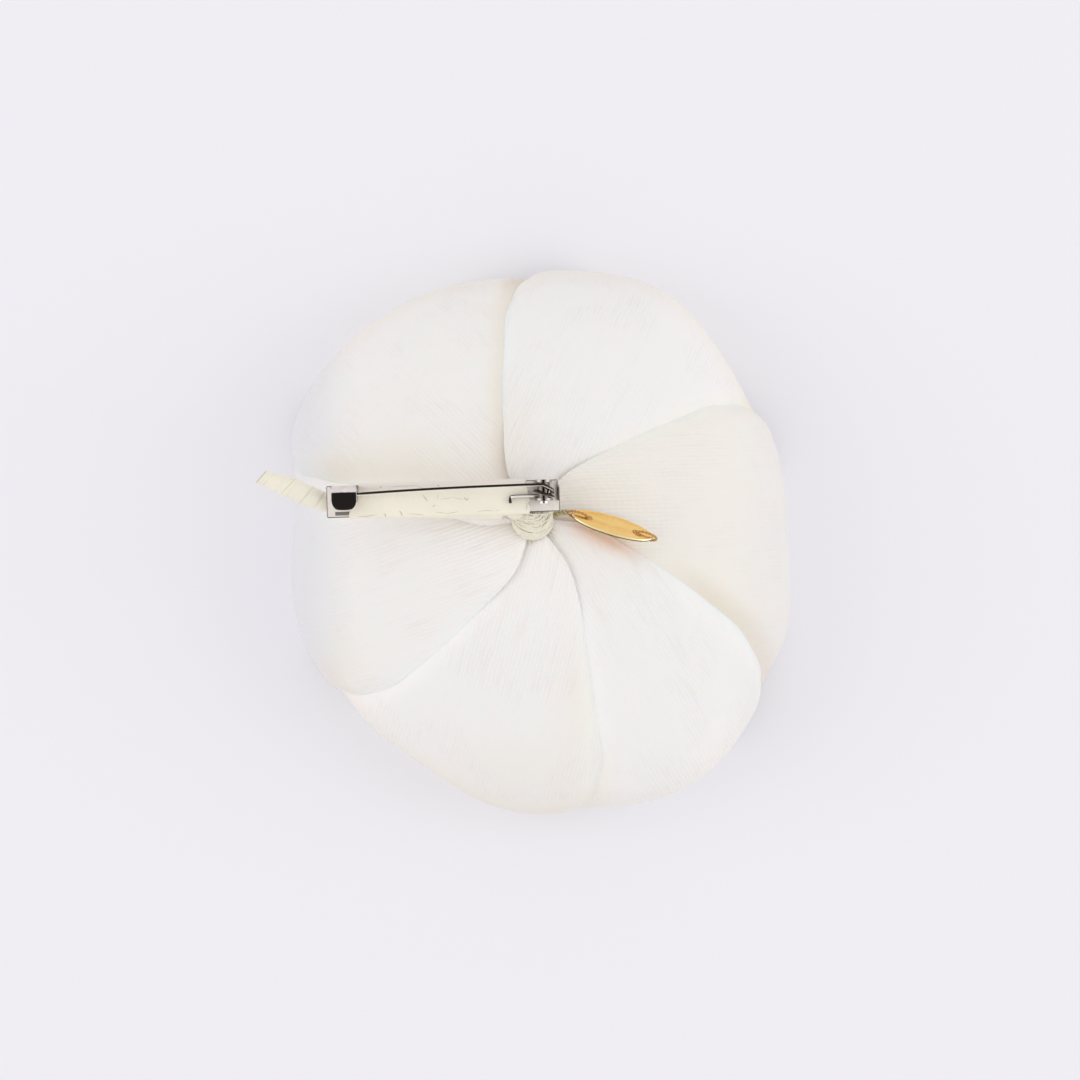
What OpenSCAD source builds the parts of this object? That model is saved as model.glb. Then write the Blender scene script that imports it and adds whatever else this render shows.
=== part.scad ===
// A silk flower worn on a lapel, lying face down with its pin on top.
// The origin is on the surface that it lies on, under the middle of its box; +Z goes up through its back.

/* [Flower] */
// Mean radius of the open flower
flower_r = 43.8; // [38:0.1:52]
// Height of the petals, from the rims that they lie on to their claws
flower_h = 31; // [27:0.5:36]
// Fullness of the petals' bowl, where 2 is an ellipse and 3 is nearly a box
fullness = 2.5; // [2:0.1:3]
// Thickness of a stiffened silk petal
petal_t = 1; // [1:0.05:1.15]
// Gap between a petal and the one that lies over it
petal_gap = 0.4; // [0.3:0.05:0.5]
// How far the middle of a rim runs down past its corners, in degrees of the bowl
rim_round = 16; // [8:1:24]

/* [Stem] */
// Radius of the stem in its paper tape
stem_r = 1.6; // [1.3:0.1:1.9]
// Length of stem that shows past the catch
stem_free = 12; // [8:0.5:18]
// Radius of the bound claws in the middle of the flower
neck_r = 2.1; // [1.8:0.1:2.4]
// Radius of the ball of wound thread
ball_r = 3.4; // [3.2:0.05:3.8]

/* [Bar pin] */
// Length of the bar
bar_len = 38; // [32:0.5:45]
// Width of the bar
bar_w = 5.2; // [4.8:0.1:6]
// Thickness of the bar
bar_t = 0.6; // [0.5:0.05:0.8]
// Turn of the bar on the back of the flower, in degrees
bar_turn = 1.7; // [0:0.1:4]
// Length of the catch's hood along the bar
hood_len = 4.4; // [3.5:0.1:6]
// Height of the catch over the bar's underside
hood_h = 3.2; // [3:0.05:3.8]
// Thickness of the catch and the lugs
sheet_t = 0.4; // [0.3:0.05:0.5]
// Radius of the rivet that the needle turns on
rivet_r = 1.05; // [0.8:0.05:1.2]
// Radius of the needle's wire
wire_r = 0.375; // [0.3:0.025:0.45]
// Running clearance of the coil on the rivet
coil_clearance = 0.05; // [0.02:0.01:0.09]

/* [Tape] */
// Thickness of the tape wound round the bar and the stem
tape_t = 0.35; // [0.3:0.05:0.5]

/* [Tag] */
// Length of the oval tag
tag_len = 14; // [10:0.2:20]
// Width of the oval tag
tag_w = 5.4; // [4:0.2:8]
// Thickness of the tag
tag_t = 0.5; // [0.4:0.05:0.8]
// Radius of the tag's two holes
tag_hole_r = 0.6; // [0.5:0.05:0.8]
// Tilt of the tag about its long axis, in degrees
tag_tilt = 55; // [0:5:60]
// Radius of the tag's thread
thread_r = 0.2; // [0.15:0.01:0.25]

/* [Hidden] */
// Where the flower's axis stands in the frame
flower_at = [1.05, 3.95];
// Clearance between a piece and the piece that carries it
seat = 0.3;
snug = 0.15;

// Reach of the flower as a share of flower_r, every 30 degrees from +X
REACH = [0.966, 0.955, 1, 0.936, 0.953, 0.965, 0.912, 0.97, 1.012, 1.112, 1.175, 1.083];

// Edges of a petal as shares of the step to the next one. Columns: share of its length, half-angle of
// the edge that lies over its neighbour, half-angle of the edge that is tucked under the other one
OUTLINE = [
    [0, 0.93, 0.93], [0.06, 0.9, 0.92], [0.11, 0.8, 0.86], [0.18, 0.7, 0.82], [0.27, 0.635, 0.79],
    [0.38, 0.585, 0.77], [0.48, 0.55, 0.76], [0.6, 0.52, 0.76], [0.71, 0.475, 0.77], [0.85, 0.43, 0.78],
    [1, 0.37, 0.76],
];
OVER_EDGE = [for (row = OUTLINE) [row[0], row[1]]];
UNDER_EDGE = [for (row = OUTLINE) [row[0], row[2]]];
// Share of rim_round that the tucked corner of a rim has
UNDER_ROUND = 0.45;

// The rings of petals, from the back of the flower to its heart. Columns: name, count, reach as a share
// of the flower, claws under the outer ones in steps of claw_pitch, height of the rims as a share of
// flower_h, angle at which the bowl ends, azimuth of the first petal, widening
RINGS = [
    ["outer_petal", 6, 1, 0, 0.008, 100, 130, 1],
    ["second_petal", 6, 0.86, 1, 0.05, 86, 98, 1],
    ["third_petal", 5, 0.71, 1.95, 0.08, 80, 30, 1],
    ["inner_petal", 5, 0.55, 2.85, 0.1, 78, 66, 1.05],
    ["heart_petal", 4, 0.355, 3.8, 0.12, 80, 15, 1.1],
    ["bud_petal", 3, 0.19, 4.9, 0.13, 135, 80, 1.1],
];
// Turn of each outer petal from an even spacing, in degrees
OUTER_TURN = [5, 9, 4, -9, -9, -4];
// Rows and columns of faces on an outer petal and on the smaller ones
OUTER_GRID = [10, 10];
INNER_GRID = [7, 6];

exponent = 2 / fullness;
layer = petal_t + petal_gap;
// A petal climbs and falls by this much from its middle to the edges of its claw
claw_slope = OUTLINE[0][1] * layer;
claw_pitch = 2 * claw_slope + petal_t + petal_gap;

// Height of the stem over the outer claws, the bar over the stem, and the ball round them
stem_z = flower_h + claw_slope + petal_t / 2 + seat + stem_r;
ball_z = stem_z - 1.6;
bar_z = stem_z + stem_r + snug;
// Hinge end of the bar from the flower's axis, and from it the catch end
bar_to = [4.4, 3.8];
bar_from = bar_to - bar_len * [cos(bar_turn), sin(bar_turn)];
bar_edge = bar_w / 2;
bar_corner = 0.6;

// The coil sits on its rivet between two lugs, the far one at the bar's edge
rivet_x = bar_len - 2.6;
coil_r = rivet_r + coil_clearance + wire_r;
coil_lift = 0.2;
rivet_z = bar_t + coil_lift + coil_r + wire_r;
lug_r = rivet_r + 0.45;
side_play = 0.05;
turn_pitch = 2 * wire_r + 0.14;
needle_y = bar_edge - sheet_t - side_play - wire_r;
turn_y = needle_y - 2 * turn_pitch;
near_lug_y = turn_y - wire_r - side_play - sheet_t;
rivet_head = 0.35;
end_lip = 0.8;
// Sweep of a turn that a straight end of the wire leaves
open_turn = 290;

// The catch's hood, and under it the needle's point
hood_x = 0.7;
hood_r = 1.3;
hood_end = bar_edge - 4.05;
catch_gap = 1.2;
tip_x = 1.3;
tip_y = bar_edge - 1.65;
tip_z = hood_h - sheet_t - 2.2 * wire_r;
tip_len = 5;
elbow_x = rivet_x - 3;
elbow_r = wire_r * 1.06;
tail_len = 5.2;
tail_rise = 6;
tail_hook = 1.1;

tape_from = hood_x + hood_len + 0.1;
tape_to = bar_len - 9.5;
tape_lean = 2.5;

// The tag's near end from the flower's axis, and the way that its length runs
tag_from = [6.3, 0.85];
tag_turn = -16.8;
tag_hole_in = 3;
tag_point = 1.05;
loop_past = 0.55;
tag_at = tag_from + tag_len / 2 * [cos(tag_turn), sin(tag_turn)];

// Stem under the bar: share of the bar from the catch, sideways in stem radii
UNDER_BAR = [[0.76, -0.95], [0.66, -0.9], [0.45, -0.6], [0.25, -0.3], [0.13, 0], [0, 0]];
// Free end of the stem: along and sideways as shares of stem_free, drop and radius as shares of stem_r
STEM_END = [[-0.23, 0.09, 0, 1.09], [-0.47, 0.2, -0.1, 1.12], [-0.67, 0.28, -0.25, 0.95],
            [-0.94, 0.39, -0.4, 0.74]];

// Smooth curve through a list of points
function blend4(a, b, c, d, t) = 0.5 * (2 * b + (c - a) * t + (2 * a - 5 * b + 4 * c - d) * t * t
    + (3 * b - a - 3 * c + d) * t * t * t);
function smooth(pts, steps) = [
    for (i = [0:len(pts) - 2]) for (s = [0:steps - 1])
        blend4(pts[max(i - 1, 0)], pts[i], pts[i + 1], pts[min(i + 2, len(pts) - 1)], s / steps),
    pts[len(pts) - 1]
];
function unit(v) = v / norm(v);

// Faces of rings of points joined one after the next, with both ends capped or joined to each other
function quad(a, b, c, d) = [[a, c, b], [a, d, c]];
function tube_faces(rings, n, closed) = concat(
    [for (i = [0:rings - (closed ? 1 : 2)]) for (j = [0:n - 1]) let (k = (i + 1) % rings, m = (j + 1) % n)
        each quad(i * n + j, i * n + m, k * n + m, k * n + j)],
    closed ? [] : [[for (j = [0:n - 1]) j], [for (j = [n - 1:-1:0]) (rings - 1) * n + j]]
);
// A round tube along points that each carry a radius as their fourth number
module tube(path, sides, closed = false) {
    n = len(path);
    points = [
        for (i = [0:n - 1])
            let (before = path[closed ? (i + n - 1) % n : max(i - 1, 0)],
                 after = path[closed ? (i + 1) % n : min(i + 1, n - 1)],
                 step = after - before,
                 along = unit([step.x, step.y, step.z]),
                 side = unit([0, 1, 0] - along.y * along),
                 up = cross(along, side))
            for (j = [0:sides - 1])
                let (a = 360 * j / sides)
                [path[i].x, path[i].y, path[i].z] + path[i][3] * (cos(a) * side + sin(a) * up)
    ];
    polyhedron(points, tube_faces(n, sides, closed));
}

// Reach of the flower at an azimuth, eased from one tabled value to the next
function reach(a) = let (s = ((a % 360) + 360) % 360 / 30, i = floor(s), f = (1 - cos(180 * (s - i))) / 2)
    flower_r * (REACH[i % 12] * (1 - f) + REACH[(i + 1) % 12] * f);
function power(c) = sign(c) * pow(abs(c), exponent);

// A ring's bowl: the point at an azimuth and an angle down from its claws, moved out along its normal
function ring_top(ring) = flower_h - ring[3] * claw_pitch;
function ring_drop(ring) = (ring_top(ring) - flower_h * ring[4]) / (1 - power(cos(ring[5])));
function bowl(ring, azimuth, down, out) =
    let (r = ring[2] * reach(azimuth), drop = ring_drop(ring),
         slope = unit([pow(sin(down), 2 - exponent) / r,
                       sign(cos(down)) * pow(abs(cos(down)), 2 - exponent) / drop]),
         rho = r * power(sin(down)) + out * slope.x)
    [rho * cos(azimuth), rho * sin(azimuth), ring_top(ring) - drop * (1 - power(cos(down))) + out * slope.y];

function is_outer(ring) = ring[3] == 0;

// Radius at which a ring's claws start: round the ball for the outer ring, and round the neck inside
function claw_r(ring) = seat + (is_outer(ring) ? ball_r : neck_r + petal_t / 2);
function claw_angle(ring, azimuth) = asin(pow(claw_r(ring) / (ring[2] * reach(azimuth)), 1 / exponent));
function step_of(ring) = 360 / ring[1];
function middle_of(ring, i) = ring[6] + step_of(ring) * (i - 1) + (is_outer(ring) ? OUTER_TURN[i - 1] : 0);

// One petal of a ring: a shell on the ring's bowl that climbs by one layer from each petal to the next
function petal_point(ring, i, u, v, side) =
    let (step = step_of(ring), even = ring[6] + step * (i - 1), tucked = u < 0 && is_outer(ring),
         azimuth = middle_of(ring, i) + u * step * ring[7] * lookup(v, tucked ? UNDER_EDGE : OVER_EDGE),
         start = claw_angle(ring, azimuth),
         end = ring[5] - rim_round * pow(abs(u), 3) * (tucked ? UNDER_ROUND : 1),
         out = layer * (azimuth - even) / step + side * petal_t / 2)
    bowl(ring, azimuth, start + v * (end - start), out);
module petal(ring, i) {
    // Each row runs across the outer side and back across the inner side
    grid = is_outer(ring) ? OUTER_GRID : INNER_GRID;
    along = grid[0];
    across = grid[1];
    rows = [for (r = [0:along]) concat(
        [for (c = [0:across]) petal_point(ring, i, 1 - 2 * c / across, r / along, 1)],
        [for (c = [across:-1:0]) petal_point(ring, i, 1 - 2 * c / across, r / along, -1)])];
    n = 2 * (across + 1);
    last = along * n;
    ends = [for (c = [0:across - 1]) each concat(
        quad(n - 1 - c, n - 2 - c, c + 1, c),
        quad(last + c, last + c + 1, last + n - 2 - c, last + n - 1 - c))];
    sides = [for (f = tube_faces(along + 1, n, false)) if (len(f) == 3) f];
    polyhedron([for (row = rows) each row], concat(sides, ends));
}

// Frames: the flower's axis, and the catch end of the bar's underside
module on_flower() {
    translate([flower_at.x, flower_at.y, 0]) children();
}
module on_bar() {
    on_flower() translate([bar_from.x, bar_from.y, bar_z]) rotate([0, 0, bar_turn]) children();
}
function from_bar(x, y, z) = [bar_from.x + x * cos(bar_turn) - y * sin(bar_turn),
    bar_from.y + x * sin(bar_turn) + y * cos(bar_turn), bar_z + z];
function with_r(p, r) = [p.x, p.y, p.z, r];

// The neck rises from the heart of the flower into the ball, and the stem runs from there under the bar
neck_from = ring_top(RINGS[len(RINGS) - 1]) - petal_t - 2 * seat;
neck_to = stem_z + 0.2;
stem_path = smooth(concat(
    [[0.6, -0.3, stem_z - 0.6, stem_r], [-1.8, 0.9, stem_z - 0.1, stem_r]],
    [for (row = UNDER_BAR) with_r(from_bar(row[0] * bar_len, row[1] * stem_r, -stem_r - snug), stem_r)],
    [for (row = STEM_END)
        with_r(from_bar(row[0] * stem_free, row[1] * stem_free, -stem_r - snug + row[2] * stem_r),
               row[3] * stem_r)]
), 2);
module stem() {
    color("antiquewhite") on_flower() {
        translate([0, 0, neck_from]) cylinder(h = neck_to - neck_from, r = neck_r, $fn = 32);
        tube(stem_path, 12);
    }
}

module thread_binding() {
    color("ivory") on_flower() difference() {
        translate([0, 0, ball_z]) sphere(ball_r, $fn = 32);
        translate([0, 0, neck_from]) cylinder(h = neck_to + snug - neck_from, r = neck_r + snug, $fn = 32);
        tube([for (i = [0:4]) with_r(stem_path[i], stem_r + snug)], 12);
    }
}

// The catch in the bar's cross-section: a wall at the far edge, rolled over into a hood
module hook_profile() {
    translate([bar_edge - sheet_t, 0]) square([sheet_t, hood_h - hood_r]);
    translate([bar_edge - hood_r, hood_h - hood_r]) intersection() {
        difference() {
            circle(hood_r, $fn = 32);
            circle(hood_r - sheet_t, $fn = 32);
        }
        square(hood_r);
    }
    translate([hood_end, hood_h - sheet_t]) square([bar_edge - hood_r - hood_end, sheet_t]);
}
module rounding(turn) {
    corner = hood_r + 0.3;
    rotate([0, 0, turn]) difference() {
        translate([-1, -1, 0]) cube([corner + 1, corner + 1, hood_h]);
        translate([corner, corner, -1]) cylinder(h = hood_h + 2, r = corner, $fn = 32);
    }
}
module catch_hook() {
    difference() {
        translate([hood_x, 0, 0]) rotate([90, 0, 90]) linear_extrude(hood_len) hook_profile();
        translate([hood_x, hood_end, bar_t + catch_gap]) rounding(0);
        translate([hood_x + hood_len, hood_end, bar_t + catch_gap]) rounding(90);
    }
}
module along_rivet(from, to, r) {
    translate([rivet_x, to, rivet_z]) rotate([90, 0, 0]) cylinder(h = to - from, r = r, $fn = 48);
}
module lug(y) {
    translate([rivet_x - lug_r, y, 0]) cube([2 * lug_r, sheet_t, rivet_z]);
    along_rivet(y, y + sheet_t, lug_r);
}
module pin_bar() {
    color("silver") on_bar() {
        linear_extrude(bar_t) polygon([[0, bar_corner - bar_edge], [bar_corner, -bar_edge],
            [bar_len, -bar_edge], [bar_len, bar_edge], [0, bar_edge]]);
        catch_hook();
        lug(near_lug_y);
        lug(bar_edge - sheet_t);
        along_rivet(near_lug_y, bar_edge - sheet_t / 2, rivet_r);
        along_rivet(near_lug_y - rivet_head, near_lug_y + sheet_t / 2, rivet_r * 0.8);
        translate([bar_len - sheet_t, near_lug_y, 0])
            cube([sheet_t, bar_edge - near_lug_y, bar_t + end_lip]);
    }
}

// A turn of the coil that starts at an angle over the bar and runs round by a sweep
module coil_turn(y, start, sweep) {
    translate([rivet_x, y, rivet_z]) rotate([90, 0, 0]) rotate([0, 0, start])
        rotate_extrude(angle = sweep, $fn = 48) translate([coil_r, 0]) circle(wire_r, $fn = 24);
}
// The needle leaves the top of its turn and bends down past the coil to lie under the hood
module pin_needle() {
    top = rivet_z + coil_r;
    run = elbow_x - tip_x;
    fall = atan((top - tip_z) / run);
    swing = atan((needle_y - tip_y) / run);
    shaft = run / (cos(fall) * cos(swing)) - tip_len;
    color("gainsboro") on_bar() {
        coil_turn(needle_y, 90, -open_turn);
        translate([rivet_x, needle_y, top]) rotate([0, -90, 0])
            cylinder(h = rivet_x - elbow_x, r = wire_r, $fn = 24);
        translate([elbow_x, needle_y, top]) {
            sphere(elbow_r, $fn = 24);
            rotate([0, 0, swing]) rotate([0, -90 - fall, 0]) {
                cylinder(h = shaft, r = wire_r, $fn = 24);
                translate([0, 0, shaft]) cylinder(h = tip_len, r1 = wire_r, r2 = 0.04, $fn = 24);
            }
        }
    }
}
// The rest of the spring: two turns, the crossing between them and the short bent tail
module pin_spring() {
    thin_r = wire_r * 0.95;
    overlap = 0.15;
    color("gainsboro") on_bar() {
        coil_turn(turn_y, -90 - tail_rise, open_turn);
        coil_turn(turn_y + turn_pitch, 0, 360);
        translate([rivet_x + coil_r, turn_y + turn_pitch, rivet_z]) rotate([90, 0, 0])
            cylinder(h = turn_pitch, r = wire_r * 0.9, $fn = 24);
        translate([rivet_x - coil_r * sin(tail_rise), turn_y, rivet_z - coil_r * cos(tail_rise)])
            rotate([0, tail_rise - 90, 0]) {
                translate([0, 0, -overlap]) cylinder(h = tail_len + overlap, r = thin_r, $fn = 24);
                translate([0, 0, tail_len]) {
                    sphere(elbow_r, $fn = 24);
                    rotate([80, 0, 0]) cylinder(h = tail_hook, r = thin_r, $fn = 24);
                }
            }
    }
}

// The tape's section at a place along the bar: flat over the bar and round under the stem
function stem_side(x) = lookup(x / bar_len, [for (i = [len(UNDER_BAR) - 1:-1:0]) UNDER_BAR[i]]) * stem_r;
function tape_section(x, grow, lean) =
    let (edge = bar_edge + grow, side = stem_side(x), r = stem_r + grow)
    concat(
        [[x, -edge, 0], [x + lean, -edge, bar_t + grow * 0.5], [x + lean, -edge + grow, bar_t + grow],
         [x + lean, edge - grow, bar_t + grow], [x + lean, edge, bar_t + grow * 0.5], [x, edge, 0]],
        [for (a = [45:-22.5:-225]) [x, side + r * cos(a), -stem_r - snug + r * sin(a)]]);
module pin_tape() {
    stops = [0, 0.2, 0.4, 0.6, 0.8, 1];
    inner = snug;
    outer = snug + tape_t;
    rows = [for (s = stops) let (x = tape_from + s * (tape_to - tape_from), lean = s == 1 ? tape_lean : 0)
        concat(tape_section(x, outer, lean), tape_section(x, inner, lean))];
    m = len(rows[0]) / 2;
    n = 2 * m;
    last = (len(rows) - 1) * n;
    walls = [for (i = [0:len(rows) - 2]) for (j = [0:m - 1]) let (k = (j + 1) % m, a = i * n, b = a + n)
        each concat(quad(a + j, b + j, b + k, a + k), quad(a + m + k, b + m + k, b + m + j, a + m + j))];
    ends = [for (j = [0:m - 1]) let (k = (j + 1) % m)
        each concat(quad(j, k, m + k, m + j), quad(last + m + j, last + m + k, last + k, last + j))];
    color("cornsilk") on_bar() polyhedron([for (row = rows) each row], concat(walls, ends));
}

// The tag leans on the petal below it by its far edge
function back_z(x, y) = let (a = atan2(y, x), share = min(norm([x, y]) / reach(a), 1))
    flower_h - ring_drop(RINGS[0]) * (1 - power(cos(asin(pow(share, 1 / exponent)))));
tag_z = back_z(tag_at.x, tag_at.y) + petal_t / 2 + seat + tag_w / 2 * sin(tag_tilt) + tag_t * cos(tag_tilt);
module on_tag() {
    on_flower() translate([tag_at.x, tag_at.y, tag_z]) rotate([0, 0, tag_turn]) rotate([-tag_tilt, 0, 0])
        children();
}
module tag() {
    sides = 48;
    color("goldenrod") on_tag() difference() {
        translate([0, 0, -tag_t / 2]) linear_extrude(tag_t) polygon([
            for (i = [0:sides - 1]) let (a = 360 * i / sides)
                [tag_len / 2 * cos(a), tag_w / 2 * sign(sin(a)) * pow(abs(sin(a)), tag_point)]]);
        for (end = [-1, 1]) translate([end * (tag_len / 2 - tag_hole_in), 0, -tag_t])
            cylinder(h = 2 * tag_t, r = tag_hole_r, $fn = 24);
    }
}
// A loop of thread in the tag's long section, through a hole and round its end
function loop_path(end) =
    let (in = tag_len / 2 - tag_hole_in, out = tag_len / 2 + loop_past)
    [for (i = [0:13]) let (a = 360 * i / 14)
        [end * ((in + out) / 2 + (out - in) / 2 * cos(a)), 0, (tag_t / 2 + thread_r + 0.2) * sin(a), thread_r]];
module tag_loop() {
    color("peru") on_tag() tube(loop_path(1), 6, true);
}
module tag_thread() {
    knot = tag_at + (tag_len / 2 + loop_past + snug) * [-cos(tag_turn), -sin(tag_turn)];
    from = (ball_r + 2 * snug) * unit([3.8, 0.4]);
    color("darkkhaki") {
        on_tag() tube(loop_path(-1), 6, true);
        on_flower() tube([[from.x, from.y, ball_z, thread_r * 1.4],
            [(from.x + knot.x) / 2, (from.y + knot.y) / 2 + 0.2, (ball_z + tag_z) / 2, thread_r * 1.4],
            [knot.x, knot.y, tag_z, thread_r * 1.4]], 8);
    }
}

for (ring = RINGS) for (i = [1:ring[1]])
    color("floralwhite") on_flower() petal(ring, i);
thread_binding();
stem();
pin_bar();
pin_needle();
pin_spring();
pin_tape();
tag();
tag_thread();
tag_loop();
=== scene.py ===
import math
import random

import bmesh
import bpy
from mathutils import Matrix, Vector, noise


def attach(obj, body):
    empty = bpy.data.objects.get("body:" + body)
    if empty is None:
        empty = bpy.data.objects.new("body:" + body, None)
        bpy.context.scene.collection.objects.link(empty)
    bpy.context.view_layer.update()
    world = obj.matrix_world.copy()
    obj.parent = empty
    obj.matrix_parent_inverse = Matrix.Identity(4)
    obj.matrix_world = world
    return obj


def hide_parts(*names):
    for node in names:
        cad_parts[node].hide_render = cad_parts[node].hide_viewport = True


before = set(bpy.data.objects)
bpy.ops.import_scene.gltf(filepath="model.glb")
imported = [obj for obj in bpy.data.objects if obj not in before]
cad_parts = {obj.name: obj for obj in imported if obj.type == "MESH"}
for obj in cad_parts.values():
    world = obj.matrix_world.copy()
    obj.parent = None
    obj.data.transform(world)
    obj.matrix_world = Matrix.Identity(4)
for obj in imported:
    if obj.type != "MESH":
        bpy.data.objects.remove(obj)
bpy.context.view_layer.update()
mm = 0.001

# The flower as the part's source has it, in mm. Shares and angles are the source's own.
flower = {
    "at": (1.05, 3.95),
    "radius": 43.8,
    "height": 31.0,
    "fullness": 2.5,
    "silk": 1.0,        # thickness in the body of a petal
    "gap": 0.4,
    "rimRound": 16,     # degrees by which the middle of a rim runs past its corners
    "tuckedRound": 0.45,
    "seat": 0.3,
    "snug": 0.15,
    # reach of the flower every 30 degrees from +X
    "reach": (0.966, 0.955, 1.0, 0.936, 0.953, 0.965, 0.912, 0.97, 1.012, 1.112, 1.175, 1.083),
    # half-angle of a petal at shares of its length: over its neighbour, and tucked under the other
    "share": (0, 0.06, 0.11, 0.18, 0.27, 0.38, 0.48, 0.6, 0.71, 0.85, 1),
    "overEdge": (0.93, 0.9, 0.8, 0.7, 0.635, 0.585, 0.55, 0.52, 0.475, 0.43, 0.37),
    "tuckedEdge": (0.93, 0.92, 0.86, 0.82, 0.79, 0.77, 0.76, 0.76, 0.77, 0.78, 0.76),
}
flower["layer"] = flower["silk"] + flower["gap"]
flower["exponent"] = 2 / flower["fullness"]
flower["clawSlope"] = flower["overEdge"][0] * flower["layer"]
flower["clawPitch"] = 2 * flower["clawSlope"] + flower["layer"]

stemWire = {"radius": 1.6, "free": 12.0, "neck": 2.1, "sides": 40, "wrapPitch": 3.4}
stemWire["z"] = (flower["height"] + flower["clawSlope"] + flower["silk"] / 2 + flower["seat"]
                 + stemWire["radius"])

bar = {"to": (4.4, 3.8), "length": 38.0, "width": 5.2, "thick": 0.6, "turn": 1.7, "corner": 0.6,
       "z": stemWire["z"] + stemWire["radius"] + flower["snug"]}
barFrame = (Matrix.Translation((flower["at"][0] + bar["to"][0], flower["at"][1] + bar["to"][1], bar["z"]))
            @ Matrix.Rotation(math.radians(bar["turn"]), 4, "Z")
            @ Matrix.Translation((-bar["length"], 0, 0)))
flowerFrame = Matrix.Translation((flower["at"][0], flower["at"][1], 0))


# Shader nodes written as expressions
class Net:
    def __init__(self, tree, socket=None):
        self.tree, self.socket = tree, socket

    def node(self, kind, settings=None, inputs=None, output=0):
        new = self.tree.nodes.new(kind)
        for key, value in (settings or {}).items():
            if key == "stops":
                ramp = new.color_ramp.elements
                while len(ramp) < len(value):
                    ramp.new(0.5)
                for stop, (place, colour) in zip(ramp, value):
                    stop.position, stop.color = place, colour
            else:
                setattr(new, key, value)
        for key, value in (inputs or {}).items():
            if isinstance(value, Net):
                self.tree.links.new(value.socket, new.inputs[key])
            else:
                new.inputs[key].default_value = value
        return Net(self.tree, new.outputs[output])

    def math(self, operation, first, second=0.0):
        return self.node("ShaderNodeMath", {"operation": operation}, {0: first, 1: second})

    def coord(self, kind):
        return self.node("ShaderNodeTexCoord", {}, {}, kind)

    def paint(self, name):  # a value painted on the mesh's points
        return self.node("ShaderNodeAttribute", {"attribute_name": name}, {}, "Fac")

    def axis(self, letter):  # one of the three numbers of a place
        return self.node("ShaderNodeSeparateXYZ", {}, {"Vector": self}, letter)

    def between(self, low, high):  # 0 below low, 1 above high, eased
        return self.node("ShaderNodeMapRange", {"interpolation_type": "SMOOTHSTEP"},
                         {"Value": self, "From Min": low, "From Max": high})

    def ranged(self, low, high):  # from 0 to 1 made low to high
        return self * (high - low) + low

    def mixed(self, first, second):  # self is the factor between two colours
        return self.node("ShaderNodeMix", {"data_type": "RGBA"}, {0: self, 6: first, 7: second}, 2)

    def noise(self, place, scale, detail=2.0, stretch=(1, 1, 1)):
        moved = self.node("ShaderNodeMapping", {}, {"Vector": place, "Scale": stretch})
        return self.node("ShaderNodeTexNoise", {}, {"Vector": moved, "Scale": scale, "Detail": detail})

    def bands(self, place, way, scale, distortion, detail=2.0, detailScale=1.0):
        return self.node("ShaderNodeTexWave", {"wave_type": "BANDS", "bands_direction": way},
                         {"Vector": place, "Scale": scale, "Distortion": distortion, "Detail": detail,
                          "Detail Scale": detailScale}, 1)

    def bump(self, height, distance, strength):
        return self.node("ShaderNodeBump", {}, {"Height": height, "Distance": distance,
                                                "Strength": strength})


for name, operation in (("add", "ADD"), ("sub", "SUBTRACT"), ("mul", "MULTIPLY"), ("truediv", "DIVIDE")):
    setattr(Net, f"__{name}__", lambda self, other, kind=operation: self.math(kind, self, other))
    setattr(Net, f"__r{name}__", lambda self, other, kind=operation: self.math(kind, other, self))


def tone(red, green, blue):  # a tone as seen on a screen, in the shader's own numbers
    return tuple(((c / 255 + 0.055) / 1.055) ** 2.4 for c in (red, green, blue)) + (1.0,)


def makeMaterial(name, varying, **steady):
    made = bpy.data.materials.new(name)
    made.use_nodes = True
    shader = made.node_tree.nodes["Principled BSDF"]
    for key, value in steady.items():
        shader.inputs[key.replace("_", " ")].default_value = value
    for key, value in varying(Net(made.node_tree)).items():
        made.node_tree.links.new(value.socket, shader.inputs[key])
    return made


# Helpers for modelling
def startAlone():
    if bpy.context.object and bpy.context.object.mode != "OBJECT":
        bpy.ops.object.mode_set(mode="OBJECT")
    bpy.ops.object.select_all(action="DESELECT")


def activate(piece):
    startAlone()
    piece.select_set(True)
    bpy.context.view_layer.objects.active = piece


def modify(piece, kind, **settings):  # adds a modifier and applies it
    added = piece.modifiers.new("shaping", kind)
    for key, value in settings.items():
        setattr(added, key, value)
    activate(piece)
    bpy.ops.object.modifier_apply(modifier=added.name)
    return piece


def inEdit(piece, choose, *steps):  # works on the faces, edges or points that choose selects
    activate(piece)
    bpy.ops.object.mode_set(mode="EDIT")
    bpy.ops.mesh.select_all(action="DESELECT")
    shape = bmesh.from_edit_mesh(piece.data)
    choose(shape)
    shape.select_flush_mode()
    bmesh.update_edit_mesh(piece.data)
    for step in steps:
        step()
    bpy.ops.object.mode_set(mode="OBJECT")


def everything(shape):
    for face in shape.faces:
        face.select = True


def weld(piece, distance):
    inEdit(piece, everything, lambda: bpy.ops.mesh.remove_doubles(threshold=distance),
           lambda: bpy.ops.mesh.normals_make_consistent(inside=False))


def divide(piece, cuts):
    inEdit(piece, everything, lambda: bpy.ops.mesh.subdivide(number_cuts=cuts))


def settle(piece):  # a primitive's own place, turn and size go into its mesh
    activate(piece)
    bpy.ops.object.transform_apply(location=True, rotation=True, scale=True)
    return piece


def cylinderOf(sides, radius, depth, at=(0, 0, 0), turn=0.0):  # turn is about X
    bpy.ops.mesh.primitive_cylinder_add(vertices=sides, radius=radius, depth=depth, location=at,
                                        rotation=(turn, 0, 0))
    return settle(bpy.context.object)


def soften(piece, width, segments=2, angle=40):
    return modify(piece, "BEVEL", width=width, segments=segments, limit_method="ANGLE",
                  angle_limit=math.radians(angle))


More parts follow.
